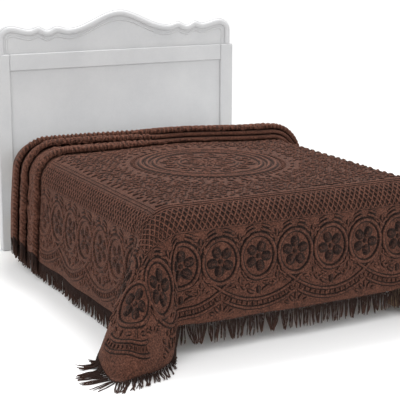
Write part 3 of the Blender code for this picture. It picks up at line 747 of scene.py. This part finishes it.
def ring_motif(tufts, band, at, turn):
    """A ring with its flower, and the leaves that arch over it."""
    centre = (at, RING_DEPTH)
    tufts.add(band(oval(centre, RING_HALF)), **RING)
    petals(tufts, band, centre, turn)
    for hand in (-1, 1):
        for start, end, out in RING_ARCS:
            first, last = (start, end) if hand > 0 else (180 - end, 180 - start)
            tufts.add(band(oval(centre, (RING_HALF[0] + out, RING_HALF[1] + out), first, last, 12)), **LEAF)
    for start, end in CROWN_ARCS:
        half = (RING_HALF[0] + CROWN_OUT, RING_HALF[1] + CROWN_OUT)
        tufts.add(band(oval(centre, half, start, end, 8)), **CROWN)


def swag_motif(tufts, band, at, half):
    """A double scalloped line hung between two rings, with blocks in it and a sprig over it."""
    for share, depth, fall, count in SWAG_LINES:
        x = np.linspace(-share, share, count)
        tufts.add(band(np.stack([at + x * half, depth + fall * x * x], -1)), **SWAG)
    depth, fall, per_pitch = SWAG_BLOCKS
    for k in range(-6, 7):
        share = k / per_pitch
        slope = math.degrees(math.atan(2 * fall * share / half))
        block = bar((at + share * half, depth + fall * share * share), BLOCK_LENGTH, 90 + slope)
        tufts.add(band(block), **BLOCK)
    tufts.add(band(bar((at, SWAG_KNOT[0]), SWAG_KNOT[1], 90.0)), **KNOT)
    leaves(tufts, band, at, SWAG_LEAVES, 0)


def crossing_motif(tufts, band, at):
    """The spray where two swags cross."""
    uprights(tufts, band, at, SPRAY_STALKS)
    leaves(tufts, band, at, SPRAY_LEAVES, 90)


def corner_motif(tufts, hand):
    """The corner's ring with its flower, and the round swag outside it."""
    spot = (hand * (HALF_ACROSS - RING_DEPTH), -FOOT_REACH + RING_DEPTH)
    tufts.add(oval(spot, CORNER_RING), **RING)
    petals(tufts, plain_band, spot, CORNER_TURN)
    middle = -90 + hand * 45
    for out in CORNER_SWAGS:
        tufts.add(oval(spot, (out, out), middle - CORNER_SPAN, middle + CORNER_SPAN, 40), **CORNER_SWAG)
    out, apart = CORNER_BLOCKS
    for k in range(-6, 7):
        angle = middle + apart * k
        tufts.add(bar(toward(spot, out, angle), BLOCK_LENGTH, angle), **BLOCK)
    out, apart, length = CORNER_LEAVES
    for k in range(-2, 3):
        angle = middle + apart * k
        tufts.add(bar(toward(spot, out, angle), length, angle + (0 if k % 2 else 90)), **LEAF)


def pleat_knobs(tufts):
    """A row of knobs over the front edge of each pleat."""
    places = np.arange(-HALF_ACROSS + KNOB_EDGE, HALF_ACROSS - KNOB_EDGE, KNOB_PITCH)
    length = np.cumsum(np.linalg.norm(np.diff(mixed(places, PATHS), axis=1), axis=2), axis=1)
    for number in range(len(PLEATS)):
        crest = number * PER_PLEAT + 2 * RUN_STEPS + TURN_STEPS + TURN_STEPS // 2
        for across, reach in zip(places, PLEAT_START + length[:, crest]):
            slant = RNG.uniform(*KNOB_SLANT)
            tufts.add(bar((across, reach + KNOB_SHIFT), RNG.uniform(*KNOB_LENGTH), slant), **KNOB)


def border_tufts():
    """The rings and swags along the three hems, and the knobs over the pleats."""
    tufts = Tufts("bedspread_border_tufts", WIDE)
    for k in range(-4, 5):
        at = k * PITCH + FOOT_SHIFT
        ring_motif(tufts, foot_band, at, FLOWER_TURN + FOOT_TURN * k)
        uprights(tufts, foot_band, at + PITCH / 2, BETWEEN_RINGS)
        if k % 2:
            swag_motif(tufts, foot_band, at, PITCH)
        else:
            crossing_motif(tufts, foot_band, at)
    for band, hand in ((left_band, -1), (right_band, 1)):
        corner_motif(tufts, hand)
        for k in range(1, SIDE_RINGS):
            at = -FOOT_REACH + RING_DEPTH + SIDE_PITCH * k
            ring_motif(tufts, band, at, FLOWER_TURN + SIDE_TURN * k)
            uprights(tufts, band, at - SIDE_PITCH / 2, BETWEEN_RINGS)
            if k % 2:
                crossing_motif(tufts, band, at)
            else:
                swag_motif(tufts, band, at, SIDE_PITCH)
    pleat_knobs(tufts)
    return tufts.build()


# Small leaves that fill the border, on both hands of each line between two rings.
SPRIGS = (
    # aside, distance from the hem, degrees, length
    (0.011, 0.345, 72, 0.024),
    (0.025, 0.366, 42, 0.026),
    (0.040, 0.384, 20, 0.024),
    (0.011, 0.207, 108, 0.024),
    (0.025, 0.192, 138, 0.026),
    (0.041, 0.178, 158, 0.024),
    (0.016, 0.150, 60, 0.022),
    (0.034, 0.140, 24, 0.022),
    (0.052, 0.153, 150, 0.022),
)
SPRIG_STRAY = 0.003
SPRIG_BOW = 0.005
SPRIG_TURN = 14


def either(limit):
    """A random number between minus and plus the limit."""
    return RNG.uniform(-limit, limit)


def sprig_tufts():
    """The small leaves between the rings, each a little different."""
    tufts = Tufts("bedspread_sprig_tufts", NARROW)
    corner = -FOOT_REACH + RING_DEPTH
    lines = [(foot_band, (k + 0.5) * PITCH + FOOT_SHIFT) for k in range(-5, 5)]
    for k in range(1, SIDE_RINGS):
        lines += [(band, corner + SIDE_PITCH * (k - 0.5)) for band in (left_band, right_band)]
    for band, at in lines:
        for aside, depth, degrees, length in SPRIGS:
            for hand in (-1, 1):
                spot = (at + hand * aside + either(SPRIG_STRAY), depth + either(SPRIG_STRAY))
                bow = either(SPRIG_BOW)
                angle = (degrees if hand > 0 else 180 - degrees) + either(SPRIG_TURN)
                tufts.add(band(bar(spot, length, angle, bow)), **SPRIG)
    return tufts.build()


def lattice_tufts():
    """Two families of slanting lines between the plain strip and the field, and the lines that edge them."""
    tufts = Tufts("bedspread_lattice_tufts", NARROW)
    near, far = LATTICE
    slant = (far - near) * LATTICE_CELL[0] / LATTICE_CELL[1]
    spans = (
        (foot_band, -(HALF_ACROSS - near), HALF_ACROSS - near),
        (left_band, -FOOT_REACH + far, HEAD_REACH),
        (right_band, -FOOT_REACH + far, HEAD_REACH),
    )
    for band, start, end in spans:
        for at in np.arange(start - slant, end, LATTICE_CELL[0]):
            for first, last in ((near, far), (far, near)):
                t = np.linspace(0, 1, 30)
                x = at + slant * t
                keep = (x >= start) & (x <= end)
                if keep.sum() > 4:
                    y = first + (last - first) * t
                    tufts.add(band(np.stack([x[keep], y[keep]], -1)), **NET)
    for depths, kind in ((FRAME_LINES, FRAME_LINE), (LATTICE, NET_EDGE)):
        for depth in depths:
            across, foot = HALF_ACROSS - depth, -FOOT_REACH + depth
            line = [(-across, HEAD_REACH), (-across, foot), (across, foot), (across, HEAD_REACH)]
            tufts.add(line, **kind)
    return tufts.build()


# ---- the field and the medallion
MEDALLION_RINGS = (
    # radius, half width, height
    (0.352, 0.0170, 0.0110),
    (0.318, 0.0150, 0.0090),
    (0.278, 0.0160, 0.0095),
    (0.150, 0.0130, 0.0080),
)
# Rays round the rings: radius, length, turn, one in so many.
RAYS = ((0.392, 0.030, 0, 1), (0.438, 0.036, 64, 2))
RAY_COUNT = 76
CURL_AT = (0.218, 0.222)
CURL_COUNT = 12
CURL_RADIUS = 0.046
CURL_TURN = 470
CURL_SHRINK = 0.72
# The flower's loops: count, distance from the middle, half sizes.
FLOWER_LOOPS = ((8, 0.098, (0.036, 0.020)), (6, 0.044, (0.022, 0.014)))
BUTTON_HALF = (0.011, 0.011)


def medallion_tufts(tufts):
    """The rings, rays, scrolls and flower in the middle."""
    for radius, half_width, height in MEDALLION_RINGS:
        ring = oval(MEDALLION, (radius, radius * STRETCH), count=160)
        tufts.add(ring, half_width, height, closed=True, step=0.011)
    for k in range(RAY_COUNT):
        angle = 360 * k / RAY_COUNT
        for radius, length, turn, one_in in RAYS:
            if k % one_in == 0:
                tufts.add(bar(toward(MEDALLION, radius, angle, STRETCH), length, angle + turn), **SCROLL)
    for k in range(CURL_COUNT):
        degrees = 360 * k / CURL_COUNT
        angle = math.radians(degrees)
        spot = (MEDALLION[0] + CURL_AT[0] * math.cos(angle), MEDALLION[1] + CURL_AT[1] * math.sin(angle))
        curl = []
        for t in np.linspace(0, 1, 26):
            curl.append(toward(spot, CURL_RADIUS * (1 - CURL_SHRINK * t), degrees + 90 + CURL_TURN * t))
        tufts.add(curl, **SCROLL)
    for count, radius, half in FLOWER_LOOPS:
        for k in range(count):
            angle = math.radians(360 * (k + 0.5) / count)
            c, s = math.cos(angle), math.sin(angle)
            loop = oval((0, 0), half)
            turned = np.stack([c * loop[:, 0] - s * loop[:, 1], s * loop[:, 0] + c * loop[:, 1]], -1)
            tufts.add(turned + np.array([MEDALLION[0] + radius * c, MEDALLION[1] + radius * s]), **LOOP)
    tufts.add(oval(MEDALLION, BUTTON_HALF), **BUTTON)


LEAF_PITCH = 0.0380
LEAF_ROW = 0.80  # rows are this much closer than the leaves in one
FIELD_START = (0.010, 0.012)
FIELD_EDGE = 0.006
FIELD_HEAD = 1.44
FIELD_CLEAR = 0.468  # round the medallion
LEAF_STRAY = 0.006
LEAF_LENGTH = (0.026, 0.041)
LEAF_TURN = 16
LEAF_LEAN = 24  # to either hand of its stem
STEM_SWEEP = 30
STEM_WAVES = (0.34, 0.29)


def field_tufts():
    """The medallion, and leaf-shaped bars all round it, running along curving stems."""
    tufts = Tufts("bedspread_field_tufts", NARROW)
    medallion_tufts(tufts)
    half = HALF_ACROSS - FIELD_FROM
    foot = -FOOT_REACH + FIELD_FROM
    row_pitch = LEAF_PITCH * LEAF_ROW
    for row in range(int((FIELD_HEAD - foot) / row_pitch)):
        y = foot + FIELD_START[1] + row * row_pitch
        for column in range(int(2 * half / LEAF_PITCH) + 1):
            x = -half + FIELD_START[0] + (column + 0.5 * (row % 2)) * LEAF_PITCH
            dx, dy = RNG.uniform(-LEAF_STRAY, LEAF_STRAY, 2)
            length = RNG.uniform(*LEAF_LENGTH)
            bow = either(LEAF_STRAY)
            turn = either(LEAF_TURN)
            from_middle = math.hypot(x - MEDALLION[0], (y - MEDALLION[1]) / STRETCH)
            if abs(x) > half - FIELD_EDGE or from_middle < FIELD_CLEAR:
                continue
            wave_x, wave_y = (2 * math.pi * value / reach for value, reach in zip((x, y), STEM_WAVES))
            turn += STEM_SWEEP * math.sin(wave_x) * math.cos(wave_y)
            turn += LEAF_LEAN if (row + column) % 2 else -LEAF_LEAN
            tufts.add(bar((x + dx, y + dy), length, turn, bow), **FIELD_LEAF)
    return tufts.build()


# ---- the fringe
FRINGE_LENGTH = 0.098
LENGTH_SHARES = (0.86, 1.05)
FLOOR_LONGER = 0.28  # strands of a hem that lies on the floor are this much longer
FLOOR_THINNER = 0.22
LOW_HEM = (0.01, 0.06)  # height up to which a hem counts as low, and how softly that ends
ON_FLOOR = (0.004, 0.02)  # the same for a place on a strand
STRAND_PITCH = 0.0078
STRAND_RADIUS = 0.0030
STRAND_SIDES = 6
STRAND_RINGS = 12
STRAND_INSIDE = 0.0015  # how far the strands start inside the hem
STRAND_LOWEST = 0.0005
HEM_STEP = 0.02
NEW_GROUP = 0.42  # chance that a strand starts a new tassel
PULL = 0.72  # how far a tassel draws its strands together
STRAND_STRAY = 0.0022
TASSEL_STRAY = 0.0065
SWAY = 0.0018
LEAN = 0.0045
SPREAD = 0.8  # how much further strands spread on the floor
FLOOR_RISE = 0.002
TWIST_PITCH = 0.019
TWIST_DEPTH = 0.20
STRAND_TONES = (0.75, 1.0)


def hem_stations():
    """Even places along the hem: across, along, level and the flat outward way."""
    across, along, level, _ = sheet_grid(HEM_STEP)
    columns, rows = across.shape
    walk = [(0, j) for j in range(rows - 1, 0, -1)] + [(i, 0) for i in range(columns)]
    walk += [(columns - 1, j) for j in range(1, rows)]
    line = np.array([(across[k], along[k], level[k]) for k in walk])
    run = np.concatenate([[0], np.cumsum(np.linalg.norm(np.diff(line, axis=0), axis=1))])
    count = int(run[-1] / STRAND_PITCH)
    where = (np.arange(count) + 0.5) * run[-1] / count
    line = np.stack([np.interp(where, run, line[:, k]) for k in range(3)], -1)
    way = unit(np.maximum(np.stack(from_corner_middle(line[:, 0], line[:, 1]), -1), 0))
    way[:, 0] *= np.sign(line[:, 0])
    return line, way


def make_fringe():
    """Twisted strands drawn together in tassels, falling on from the hem or spread on the floor."""
    line, way = hem_stations()
    count = len(line)
    group = np.cumsum(RNG.random(count) < NEW_GROUP)
    order = np.arange(count)
    centre = np.array([order[group == g].mean() for g in group])
    length = FRINGE_LENGTH * RNG.uniform(*LENGTH_SHARES, count)
    hem = place(line[:, 0], line[:, 1], line[:, 2])
    low_hem = 1 - smooth((hem[:, 2] - LOW_HEM[0]) / LOW_HEM[1])
    length = length * (1 + FLOOR_LONGER * low_hem)
    share = np.linspace(0, 1, STRAND_RINGS)
    distance = share[None, :] * length[:, None] - STRAND_INSIDE
    spots = place(
        line[:, 0, None] + way[:, 0, None] * distance,
        line[:, 1, None] - way[:, 1, None] * distance,
        np.repeat(line[:, 2, None], STRAND_RINGS, axis=1),
    )
    lateral = unit(np.gradient(spots[:, 0], axis=0))[:, None, :]
    out = unit(np.cross(lateral, unit(np.gradient(spots, axis=1))))
    pull = (centre - order) * STRAND_PITCH * PULL + RNG.normal(0, STRAND_STRAY, count)
    pull += (TASSEL_STRAY * RNG.normal(0, 1, group.max() + 1))[group]
    sway = RNG.normal(0, SWAY, count)[:, None]
    phase = RNG.uniform(0, 2 * math.pi, count)[:, None]
    lean = np.abs(RNG.normal(0, LEAN, count))
    bend = share**1.5
    side = pull[:, None] * bend + sway * np.sin(2 * math.pi * share * 1.1 + phase) * share
    on_floor = 1 - smooth((spots[..., 2] - ON_FLOOR[0]) / ON_FLOOR[1])
    side = side * (1 + SPREAD * on_floor)
    swing = lean[:, None] * bend * (1 - on_floor) + FLOOR_RISE * on_floor * (order % 3)[:, None]
    outward = out * np.where((out[..., 2:] < 0) & (on_floor[..., None] > 0.5), -1, 1)
    path = spots + lateral * side[..., None] + outward * swing[..., None]
    tangent = unit(np.gradient(path, axis=1))
    first = unit(np.cross(tangent, (0.01, 0.01, 1.01)))
    second = np.cross(tangent, first)
    turns = 2 * math.pi * np.arange(STRAND_SIDES) / STRAND_SIDES
    angle = turns + np.zeros((count, STRAND_RINGS, 1))
    twist = 2 * math.pi * distance[..., None] / TWIST_PITCH + phase[..., None]
    # Narrow where it is sewn in and at its cut end, a little slimmer all the way down.
    fade = np.where(share < 0.06, 0.75, 1.0) * (1.06 - 0.22 * share) * np.where(share > 0.95, 0.72, 1.0)
    radius = STRAND_RADIUS * (1 + TWIST_DEPTH * np.cos(2 * (angle - twist))) * fade[None, :, None]
    radius = radius * (1 - FLOOR_THINNER * low_hem)[:, None, None]
    points = path[:, :, None, :] + first[:, :, None, :] * (radius * np.cos(angle))[..., None]
    points = points + second[:, :, None, :] * (radius * np.sin(angle))[..., None]
    points[..., 2] += np.maximum(STRAND_LOWEST - points[..., 2].min(axis=2), 0)[..., None]
    along = np.broadcast_to(distance[..., None], radius.shape)
    uv = np.stack([along, np.broadcast_to(angle / (2 * math.pi), radius.shape)], -1).reshape(-1, 2)
    tone = np.broadcast_to((0.35 + 0.65 * share)[None, :, None], radius.shape)
    tone = tone * RNG.uniform(*STRAND_TONES, count)[:, None, None]
    faces = []
    for strand in range(count):
        faces += tube_faces(STRAND_RINGS, STRAND_SIDES, strand * STRAND_RINGS * STRAND_SIDES, flip=True)
    return new_object("bedspread_fringe_strands", points.reshape(-1, 3) + BED_CENTRE, faces, uv, tone.ravel())


# ---- materials
# The chenille ramp, dark to light: painted shade for grooves and hollows, the cloth's own brown, painted
# light for crests; the pile's noise also moves the tone at random.
GROOVE_SHADE = (0.0045, 0.0022, 0.0018)
DEEP = (0.020, 0.0095, 0.0072)
BROWN = (0.078, 0.0300, 0.0190)
CREST_LIGHT = (0.150, 0.0620, 0.0410)
YARN_DARK = (0.004, 0.0020, 0.0016)
YARN_BROWN = (0.021, 0.0090, 0.0062)
YARN_LIGHT = (0.064, 0.0300, 0.0210)
COTTON_SHEEN = (0.80, 0.52, 0.42, 1.0)
TICKING = (0.480, 0.415, 0.345)
WHITE_COTTON = (0.66, 0.66, 0.67)
IVORY_LOW, IVORY_HIGH = (0.50, 0.50, 0.51), (0.58, 0.58, 0.59)
PAINT_LOW, PAINT_HIGH = (0.420, 0.424, 0.432), (0.500, 0.501, 0.502)
WOOD_LOW, WOOD_HIGH = (0.36, 0.25, 0.15), (0.58, 0.44, 0.29)
FLOOR_WHITE = (0.93, 0.93, 0.93, 1.0)
SHEET_LOW = 0.585  # height of the fitted sheet's lower edge


class Nodes:
    """A material and short ways to add the nodes that the materials here share."""

    def __init__(self, name):
        self.material = bpy.data.materials.new(name)
        self.material.use_nodes = True
        self.tree = self.material.node_tree
        self.shader = self.tree.nodes["Principled BSDF"]

    def node(self, kind, links=(), inputs=(), **settings):
        made = self.tree.nodes.new(kind)
        for key, value in settings.items():
            setattr(made, key, value)
        for socket, source in dict(links).items():
            self.tree.links.new(source, made.inputs[socket])
        for socket, value in dict(inputs).items():
            made.inputs[socket].default_value = value
        return made

    def place(self):
        return self.node("ShaderNodeTexCoord").outputs["Object"]

    def flat(self):
        return self.node("ShaderNodeUVMap", uv_map="flat").outputs["UV"]

    def tone(self):
        return self.node("ShaderNodeAttribute", attribute_name="tone").outputs["Fac"]

    def link(self, source, socket):
        self.tree.links.new(source, self.shader.inputs[socket])

    def surface(self, values):
        for socket, value in values.items():
            self.shader.inputs[socket].default_value = value

    def ramp(self, source, stops):
        made = self.node("ShaderNodeValToRGB", {"Fac": source})
        elements = made.color_ramp.elements
        while len(elements) < len(stops):
            elements.new(0.5)
        for element, (position, colour) in zip(elements, stops):
            element.position = position
            element.color = (*colour, 1.0)
        return made.outputs["Color"]

    def noise(self, vector, scale, detail=3.0):
        inputs = {"Scale": scale, "Detail": detail, "Roughness": 0.6}
        return self.node("ShaderNodeTexNoise", {"Vector": vector}, inputs).outputs["Fac"]

    def stretched(self, vector, scale):
        return self.node("ShaderNodeMapping", {"Vector": vector}, {"Scale": scale}).outputs["Vector"]

    def wave(self, vector, direction, scale, distortion):
        inputs = {"Scale": scale, "Distortion": distortion}
        made = self.node(
            "ShaderNodeTexWave", {"Vector": vector}, inputs, wave_type="BANDS", bands_direction=direction
        )
        return made.outputs["Fac"]

    def math(self, operation, a, b):
        made = self.node("ShaderNodeMath", operation=operation)
        for socket, value in zip(made.inputs, (a, b)):
            if isinstance(value, float):
                socket.default_value = value
            else:
                self.tree.links.new(value, socket)
        return made.outputs[0]

    def varied(self, value, noise, amount):
        """The value, moved up and down by the noise."""
        return self.math("ADD", value, self.math("MULTIPLY", self.math("SUBTRACT", noise, 0.5), amount))

    def bump(self, height, distance, strength, below=None):
        links = {"Height": height}
        if below is not None:
            links["Normal"] = below
        made = self.node("ShaderNodeBump", links, {"Distance": distance, "Strength": strength})
        return made.outputs["Normal"]


def chenille(name, ribs):
    """Brown cotton pile: painted shade where the tone is low, in the grooves, and painted light on the
    crests; ribs are the stitches.
    """
    direction, scale, distortion, depth, strength = ribs
    m = Nodes(name)
    at = m.place()
    pile = m.noise(at, 420.0, 2.0)
    nap = m.noise(at, 130.0)
    tone = m.varied(m.varied(m.tone(), pile, 0.50), nap, 1.80)
    tone = m.varied(tone, m.noise(at, 22.0), 0.50)
    m.link(m.ramp(tone, ((0.0, GROOVE_SHADE), (0.28, DEEP), (0.62, BROWN), (1.0, CREST_LIGHT))), "Base Color")
    stitches = m.bump(m.wave(m.flat(), direction, scale, distortion), depth, strength)
    m.link(m.bump(pile, 0.0016, 0.9, m.bump(nap, 0.0085, 1.0, stitches)), "Normal")
    m.surface({"Roughness": 0.95, "Specular IOR Level": 0.15})
    m.surface({"Sheen Weight": 0.10, "Sheen Roughness": 0.55, "Sheen Tint": COTTON_SHEEN})
    return m.material


def yarn(name):
    """The same cotton in twisted strands, lighter toward their ends."""
    m = Nodes(name)
    fuzz = m.noise(m.place(), 700.0, 2.0)
    stops = ((0.0, YARN_DARK), (0.6, YARN_BROWN), (1.0, YARN_LIGHT))
    m.link(m.ramp(m.varied(m.tone(), fuzz, 0.6), stops), "Base Color")
    ply = m.wave(m.flat(), "DIAGONAL", 18.0, 0.0)
    m.link(m.bump(fuzz, 0.0008, 0.8, m.bump(ply, 0.0008, 0.5)), "Normal")
    m.surface({"Roughness": 0.90, "Specular IOR Level": 0.2})
    m.surface({"Sheen Weight": 0.04, "Sheen Roughness": 0.5, "Sheen Tint": COTTON_SHEEN})
    return m.material


def plain_weave(m, at, scale, softness, sheen):
    """Fine threads over soft unevenness; returns the unevenness."""
    soft = m.noise(at, 9.0, 2.0)
    m.link(m.bump(m.noise(at, scale, 1.0), 0.0004, 0.5, m.bump(soft, *softness)), "Normal")
    m.surface({"Roughness": 0.85, "Specular IOR Level": 0.25, "Sheen Weight": sheen})
    return soft


def canvas(name):
    """Ivory cloth over the base."""
    m = Nodes(name)
    at = m.place()
    m.link(m.ramp(m.noise(at, 6.0, 4.0), ((0.3, IVORY_LOW), (0.7, IVORY_HIGH))), "Base Color")
    plain_weave(m, at, 700.0, (0.006, 0.5), 0.10)
    return m.material


def fitted_sheet(name):
    """White sheet over the mattress's top and rounding, cream ticking on its side."""
    m = Nodes(name)
    at = m.place()
    soft = plain_weave(m, at, 900.0, (0.008, 0.6), 0.0)
    height = m.node("ShaderNodeSeparateXYZ", {"Vector": at}).outputs["Z"]
    covered = m.math("MULTIPLY", m.math("SUBTRACT", m.varied(height, soft, 0.05), SHEET_LOW), 60.0)
    m.link(m.ramp(covered, ((0.0, TICKING), (1.0, WHITE_COTTON))), "Base Color")
    return m.material


def paint(name):
    """Satin pale grey paint over wood, a little uneven and brushed."""
    m = Nodes(name)
    at = m.place()
    fine = m.noise(at, 90.0)
    patch = m.math("MULTIPLY", m.noise(at, 5.0, 4.0), 0.75)
    shade = m.math("ADD", patch, m.math("MULTIPLY", fine, 0.25))
    m.link(m.ramp(shade, ((0.25, PAINT_LOW), (0.75, PAINT_HIGH))), "Base Color")
    m.link(m.bump(m.noise(m.stretched(at, (1.0, 1.0, 14.0)), 30.0), 0.0004, 0.5), "Normal")
    m.link(m.math("ADD", m.math("MULTIPLY", fine, 0.12), 0.36), "Roughness")
    return m.material


def timber(name):
    """Pale wood with its grain along the bed."""
    m = Nodes(name)
    grain = m.noise(m.stretched(m.place(), (9.0, 1.0, 9.0)), 14.0, 6.0)
    m.link(m.ramp(grain, ((0.3, WOOD_LOW), (0.7, WOOD_HIGH))), "Base Color")
    m.link(m.bump(grain, 0.0006, 0.4), "Normal")
    m.link(m.math("ADD", m.math("MULTIPLY", grain, 0.15), 0.50), "Roughness")
    return m.material


def give(obj, material):
    obj.data.materials.clear()
    obj.data.materials.append(material)


# ---- the bed under it
MATTRESS_CORNER = 0.1735
MATTRESS_EDGE = 0.1235
# Up from the bottom, and inset.
MATTRESS_FOOT = ((0.0, 0.030), (0.004, 0.017), (0.012, 0.006), (0.022, 0.001), (0.030, 0.0))
BASE_CORNER = 0.165
BASE_FOOT = ((0.0, 0.014), (0.004, 0.005), (0.012, 0.0))
BASE_HEAD = ((-0.014, 0.0), (-0.011, -0.0025), (-0.007, -0.0035), (-0.003, -0.0025), (0.0, 0.004))


def rounded_body(name, node, corner, levels, steps):
    """A body with round corners over the node's plan; each level is a height and an inset."""
    low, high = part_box(node)
    points = []
    for height, inset in levels:
        radius = corner - inset
        for quarter, (x, y) in enumerate(((1, 1), (-1, 1), (-1, -1), (1, -1))):
            middle_x = (high.x - corner) if x > 0 else (low.x + corner)
            middle_y = (high.y - corner) if y > 0 else (low.y + corner)
            for k in range(steps + 1):
                angle = math.pi / 2 * (quarter + k / steps)
                x_out, y_out = radius * math.cos(angle), radius * math.sin(angle)
                points.append((middle_x + x_out, middle_y + y_out, height))
    return new_object(name, points, tube_faces(len(levels), 4 * (steps + 1), flip=True))


def make_mattress():
    """Slightly tucked in at the bottom, round along its top edge."""
    levels = [(MATTRESS_LOW.z + up, inset) for up, inset in MATTRESS_FOOT]
    for angle in math.pi / 2 * np.arange(1, 13) / 12:
        height = MATTRESS_HIGH.z - MATTRESS_EDGE * (1 - math.sin(angle))
        levels.append((height, MATTRESS_EDGE * (1 - math.cos(angle))))
    return rounded_body("mattress_with_fitted_sheet", "mattress", MATTRESS_CORNER, levels, 16)


def make_base():
    """A box with soft edges and a piped seam round its top."""
    low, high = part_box("bed_base")
    levels = [(low.z + up, inset) for up, inset in BASE_FOOT]
    levels += [(high.z + up, inset) for up, inset in BASE_HEAD]
    return rounded_body("bed_base_cover", "bed_base", BASE_CORNER, levels, 14)


# ---- the line inside the headboard's moulding
HEADBOARD_EDGE = (
    # distance from the middle, height: the edge is level at each
    (0.000, 1.409),
    (0.325, 1.310),
    (0.400, 1.325),
    (0.458, 1.304),
    (0.514, 1.326),
    (0.566, 1.312),
    (0.682, 1.334),
)
LINE_INSET = 0.060
LINE_CORNER = 0.026
LINE_SIZE = 0.0055  # half its width, and how far it stands out
LINE_SUNK = 0.0002
LINE_FOOT = 1.176  # just over the rail
LINE_SIDES = 7


def make_headboard_line():
    """A slim bead on the panel, following the outline inside the broad one."""
    half = []
    for (x0, z0), (x1, z1) in zip(HEADBOARD_EDGE, HEADBOARD_EDGE[1:]):
        t = np.arange(12) / 12
        half += list(zip(x0 + (x1 - x0) * t, z0 + (z1 - z0) * smooth(t) - LINE_INSET))
    x, z = HEADBOARD_EDGE[-1]
    for angle in np.linspace(0, math.pi / 2, 9):
        fall = LINE_INSET + LINE_CORNER * (1 - math.cos(angle))
        half.append((x + LINE_CORNER * math.sin(angle), z - fall))
    half.append((x + LINE_CORNER, LINE_FOOT))
    line = np.array([(-a, b) for a, b in reversed(half[1:])] + half)
    way = unit(np.gradient(line, axis=0))
    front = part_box("headboard_panel")[0].y - LINE_SUNK
    points = []
    for spot, out in zip(line, np.stack([way[:, 1], -way[:, 0]], -1)):
        for angle in np.linspace(0, math.pi, LINE_SIDES):
            x, z = spot + out * LINE_SIZE * math.cos(angle)
            points.append((x + BED_CENTRE[0], front - LINE_SIZE * math.sin(angle), z))
    return new_object("headboard_inner_line", points, tube_faces(len(line), LINE_SIDES), sharp=60)


# ---- put it together
WOVEN = ("Y", 52.0, 2.5, 0.0006, 0.6)  # direction, scale, distortion, depth and strength
STITCHED = ("X", 36.0, 1.5, 0.0012, 0.8)

sheet = make_sheet()
border = border_tufts()
lattice = lattice_tufts()
field = field_tufts()
sprigs = sprig_tufts()
fringe = make_fringe()
mattress = make_mattress()
base = make_base()
inner_line = make_headboard_line()
stitched_pile = chenille("chenille tufts", STITCHED)
painted = paint("pale grey paint")
wood = timber("pale timber")
dressed = (
    (sheet, chenille("chenille ground", WOVEN), "chenille"),
    (border, stitched_pile, "chenille"),
    (lattice, stitched_pile, "chenille"),
    (field, stitched_pile, "chenille"),
    (sprigs, stitched_pile, "chenille"),
    (fringe, yarn("fringe yarn"), "fringe_yarn"),
    (mattress, fitted_sheet("white cotton"), "white_cotton"),
    (base, canvas("ivory canvas"), "ivory_canvas"),
    (inner_line, painted, "headboard_paint"),
)
for obj, material, slot in dressed:
    give(obj, material)
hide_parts("bedspread")
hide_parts("bedspread_fringe")
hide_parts("mattress")
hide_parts("bed_base")
for name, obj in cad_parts.items():
    if name.startswith("headboard"):
        give(obj, painted)
    elif name.startswith("frame_"):
        give(obj, wood)

# ---- stage, light and camera
FLOOR_HALF = 30
FLOOR_LEVEL = -0.0005
WORLD_STRENGTH = 1.1
LIGHTS = (
    # name, place, what it's aimed at, size, power
    ("key", (0.4, 1.2, 3.9), (0.0, -0.2, 0.5), 1.6, 120.0),
    ("side", (-4.2, -2.4, 2.8), (-0.8, 0.2, 0.4), 2.6, 55.0),
    ("fill", (2.0, -5.0, 3.0), (0.0, -0.3, 0.4), 2.5, 54.0),
)
CAMERA_AT = np.array([-2.8414, -5.4711, 1.8734])
CAMERA_DOWN = 0.2272
CAMERA_TURN = -0.4793
CAMERA_LENS = 104.9706
SENSOR_WIDTH = 36.0

corners = [(x * FLOOR_HALF, y * FLOOR_HALF, FLOOR_LEVEL) for x, y in ((-1, -1), (1, -1), (1, 1), (-1, 1))]
floor_mesh = bpy.data.meshes.new("floor")
floor_mesh.from_pydata(corners, [], [[0, 1, 2, 3]])
floor = link_object("floor", floor_mesh)
floor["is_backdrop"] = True
pale = Nodes("pale floor")
pale.surface({"Base Color": FLOOR_WHITE, "Roughness": 0.9})
give(floor, pale.material)

world = bpy.data.worlds.new("studio")
bpy.context.scene.world = world
world.use_nodes = True
background = world.node_tree.nodes["Background"]
background.inputs["Color"].default_value = (1.0, 1.0, 1.0, 1.0)
background.inputs["Strength"].default_value = WORLD_STRENGTH

for name, spot, target, size, power in LIGHTS:
    lamp = bpy.data.lights.new(name, "AREA")
    lamp.shape = "DISK"
    lamp.size = size
    lamp.energy = power
    light = link_object(name, lamp)
    light.location = spot
    light.rotation_mode = "QUATERNION"
    light.rotation_quaternion = (Vector(target) - Vector(spot)).to_track_quat("-Z", "Y")

camera_data = bpy.data.cameras.new("camera")
camera_data.sensor_width = SENSOR_WIDTH
camera_data.lens = CAMERA_LENS
camera = link_object("camera", camera_data)
camera.location = CAMERA_AT + BED_CENTRE
camera.rotation_euler = (math.pi / 2 - CAMERA_DOWN, 0.0, CAMERA_TURN)
bpy.context.scene.camera = camera
bpy.context.scene.view_settings.view_transform = "Standard"

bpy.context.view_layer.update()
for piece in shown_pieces():
    print(piece.name, len(piece.data.polygons), sum(len(p.vertices) - 2 for p in piece.data.polygons))
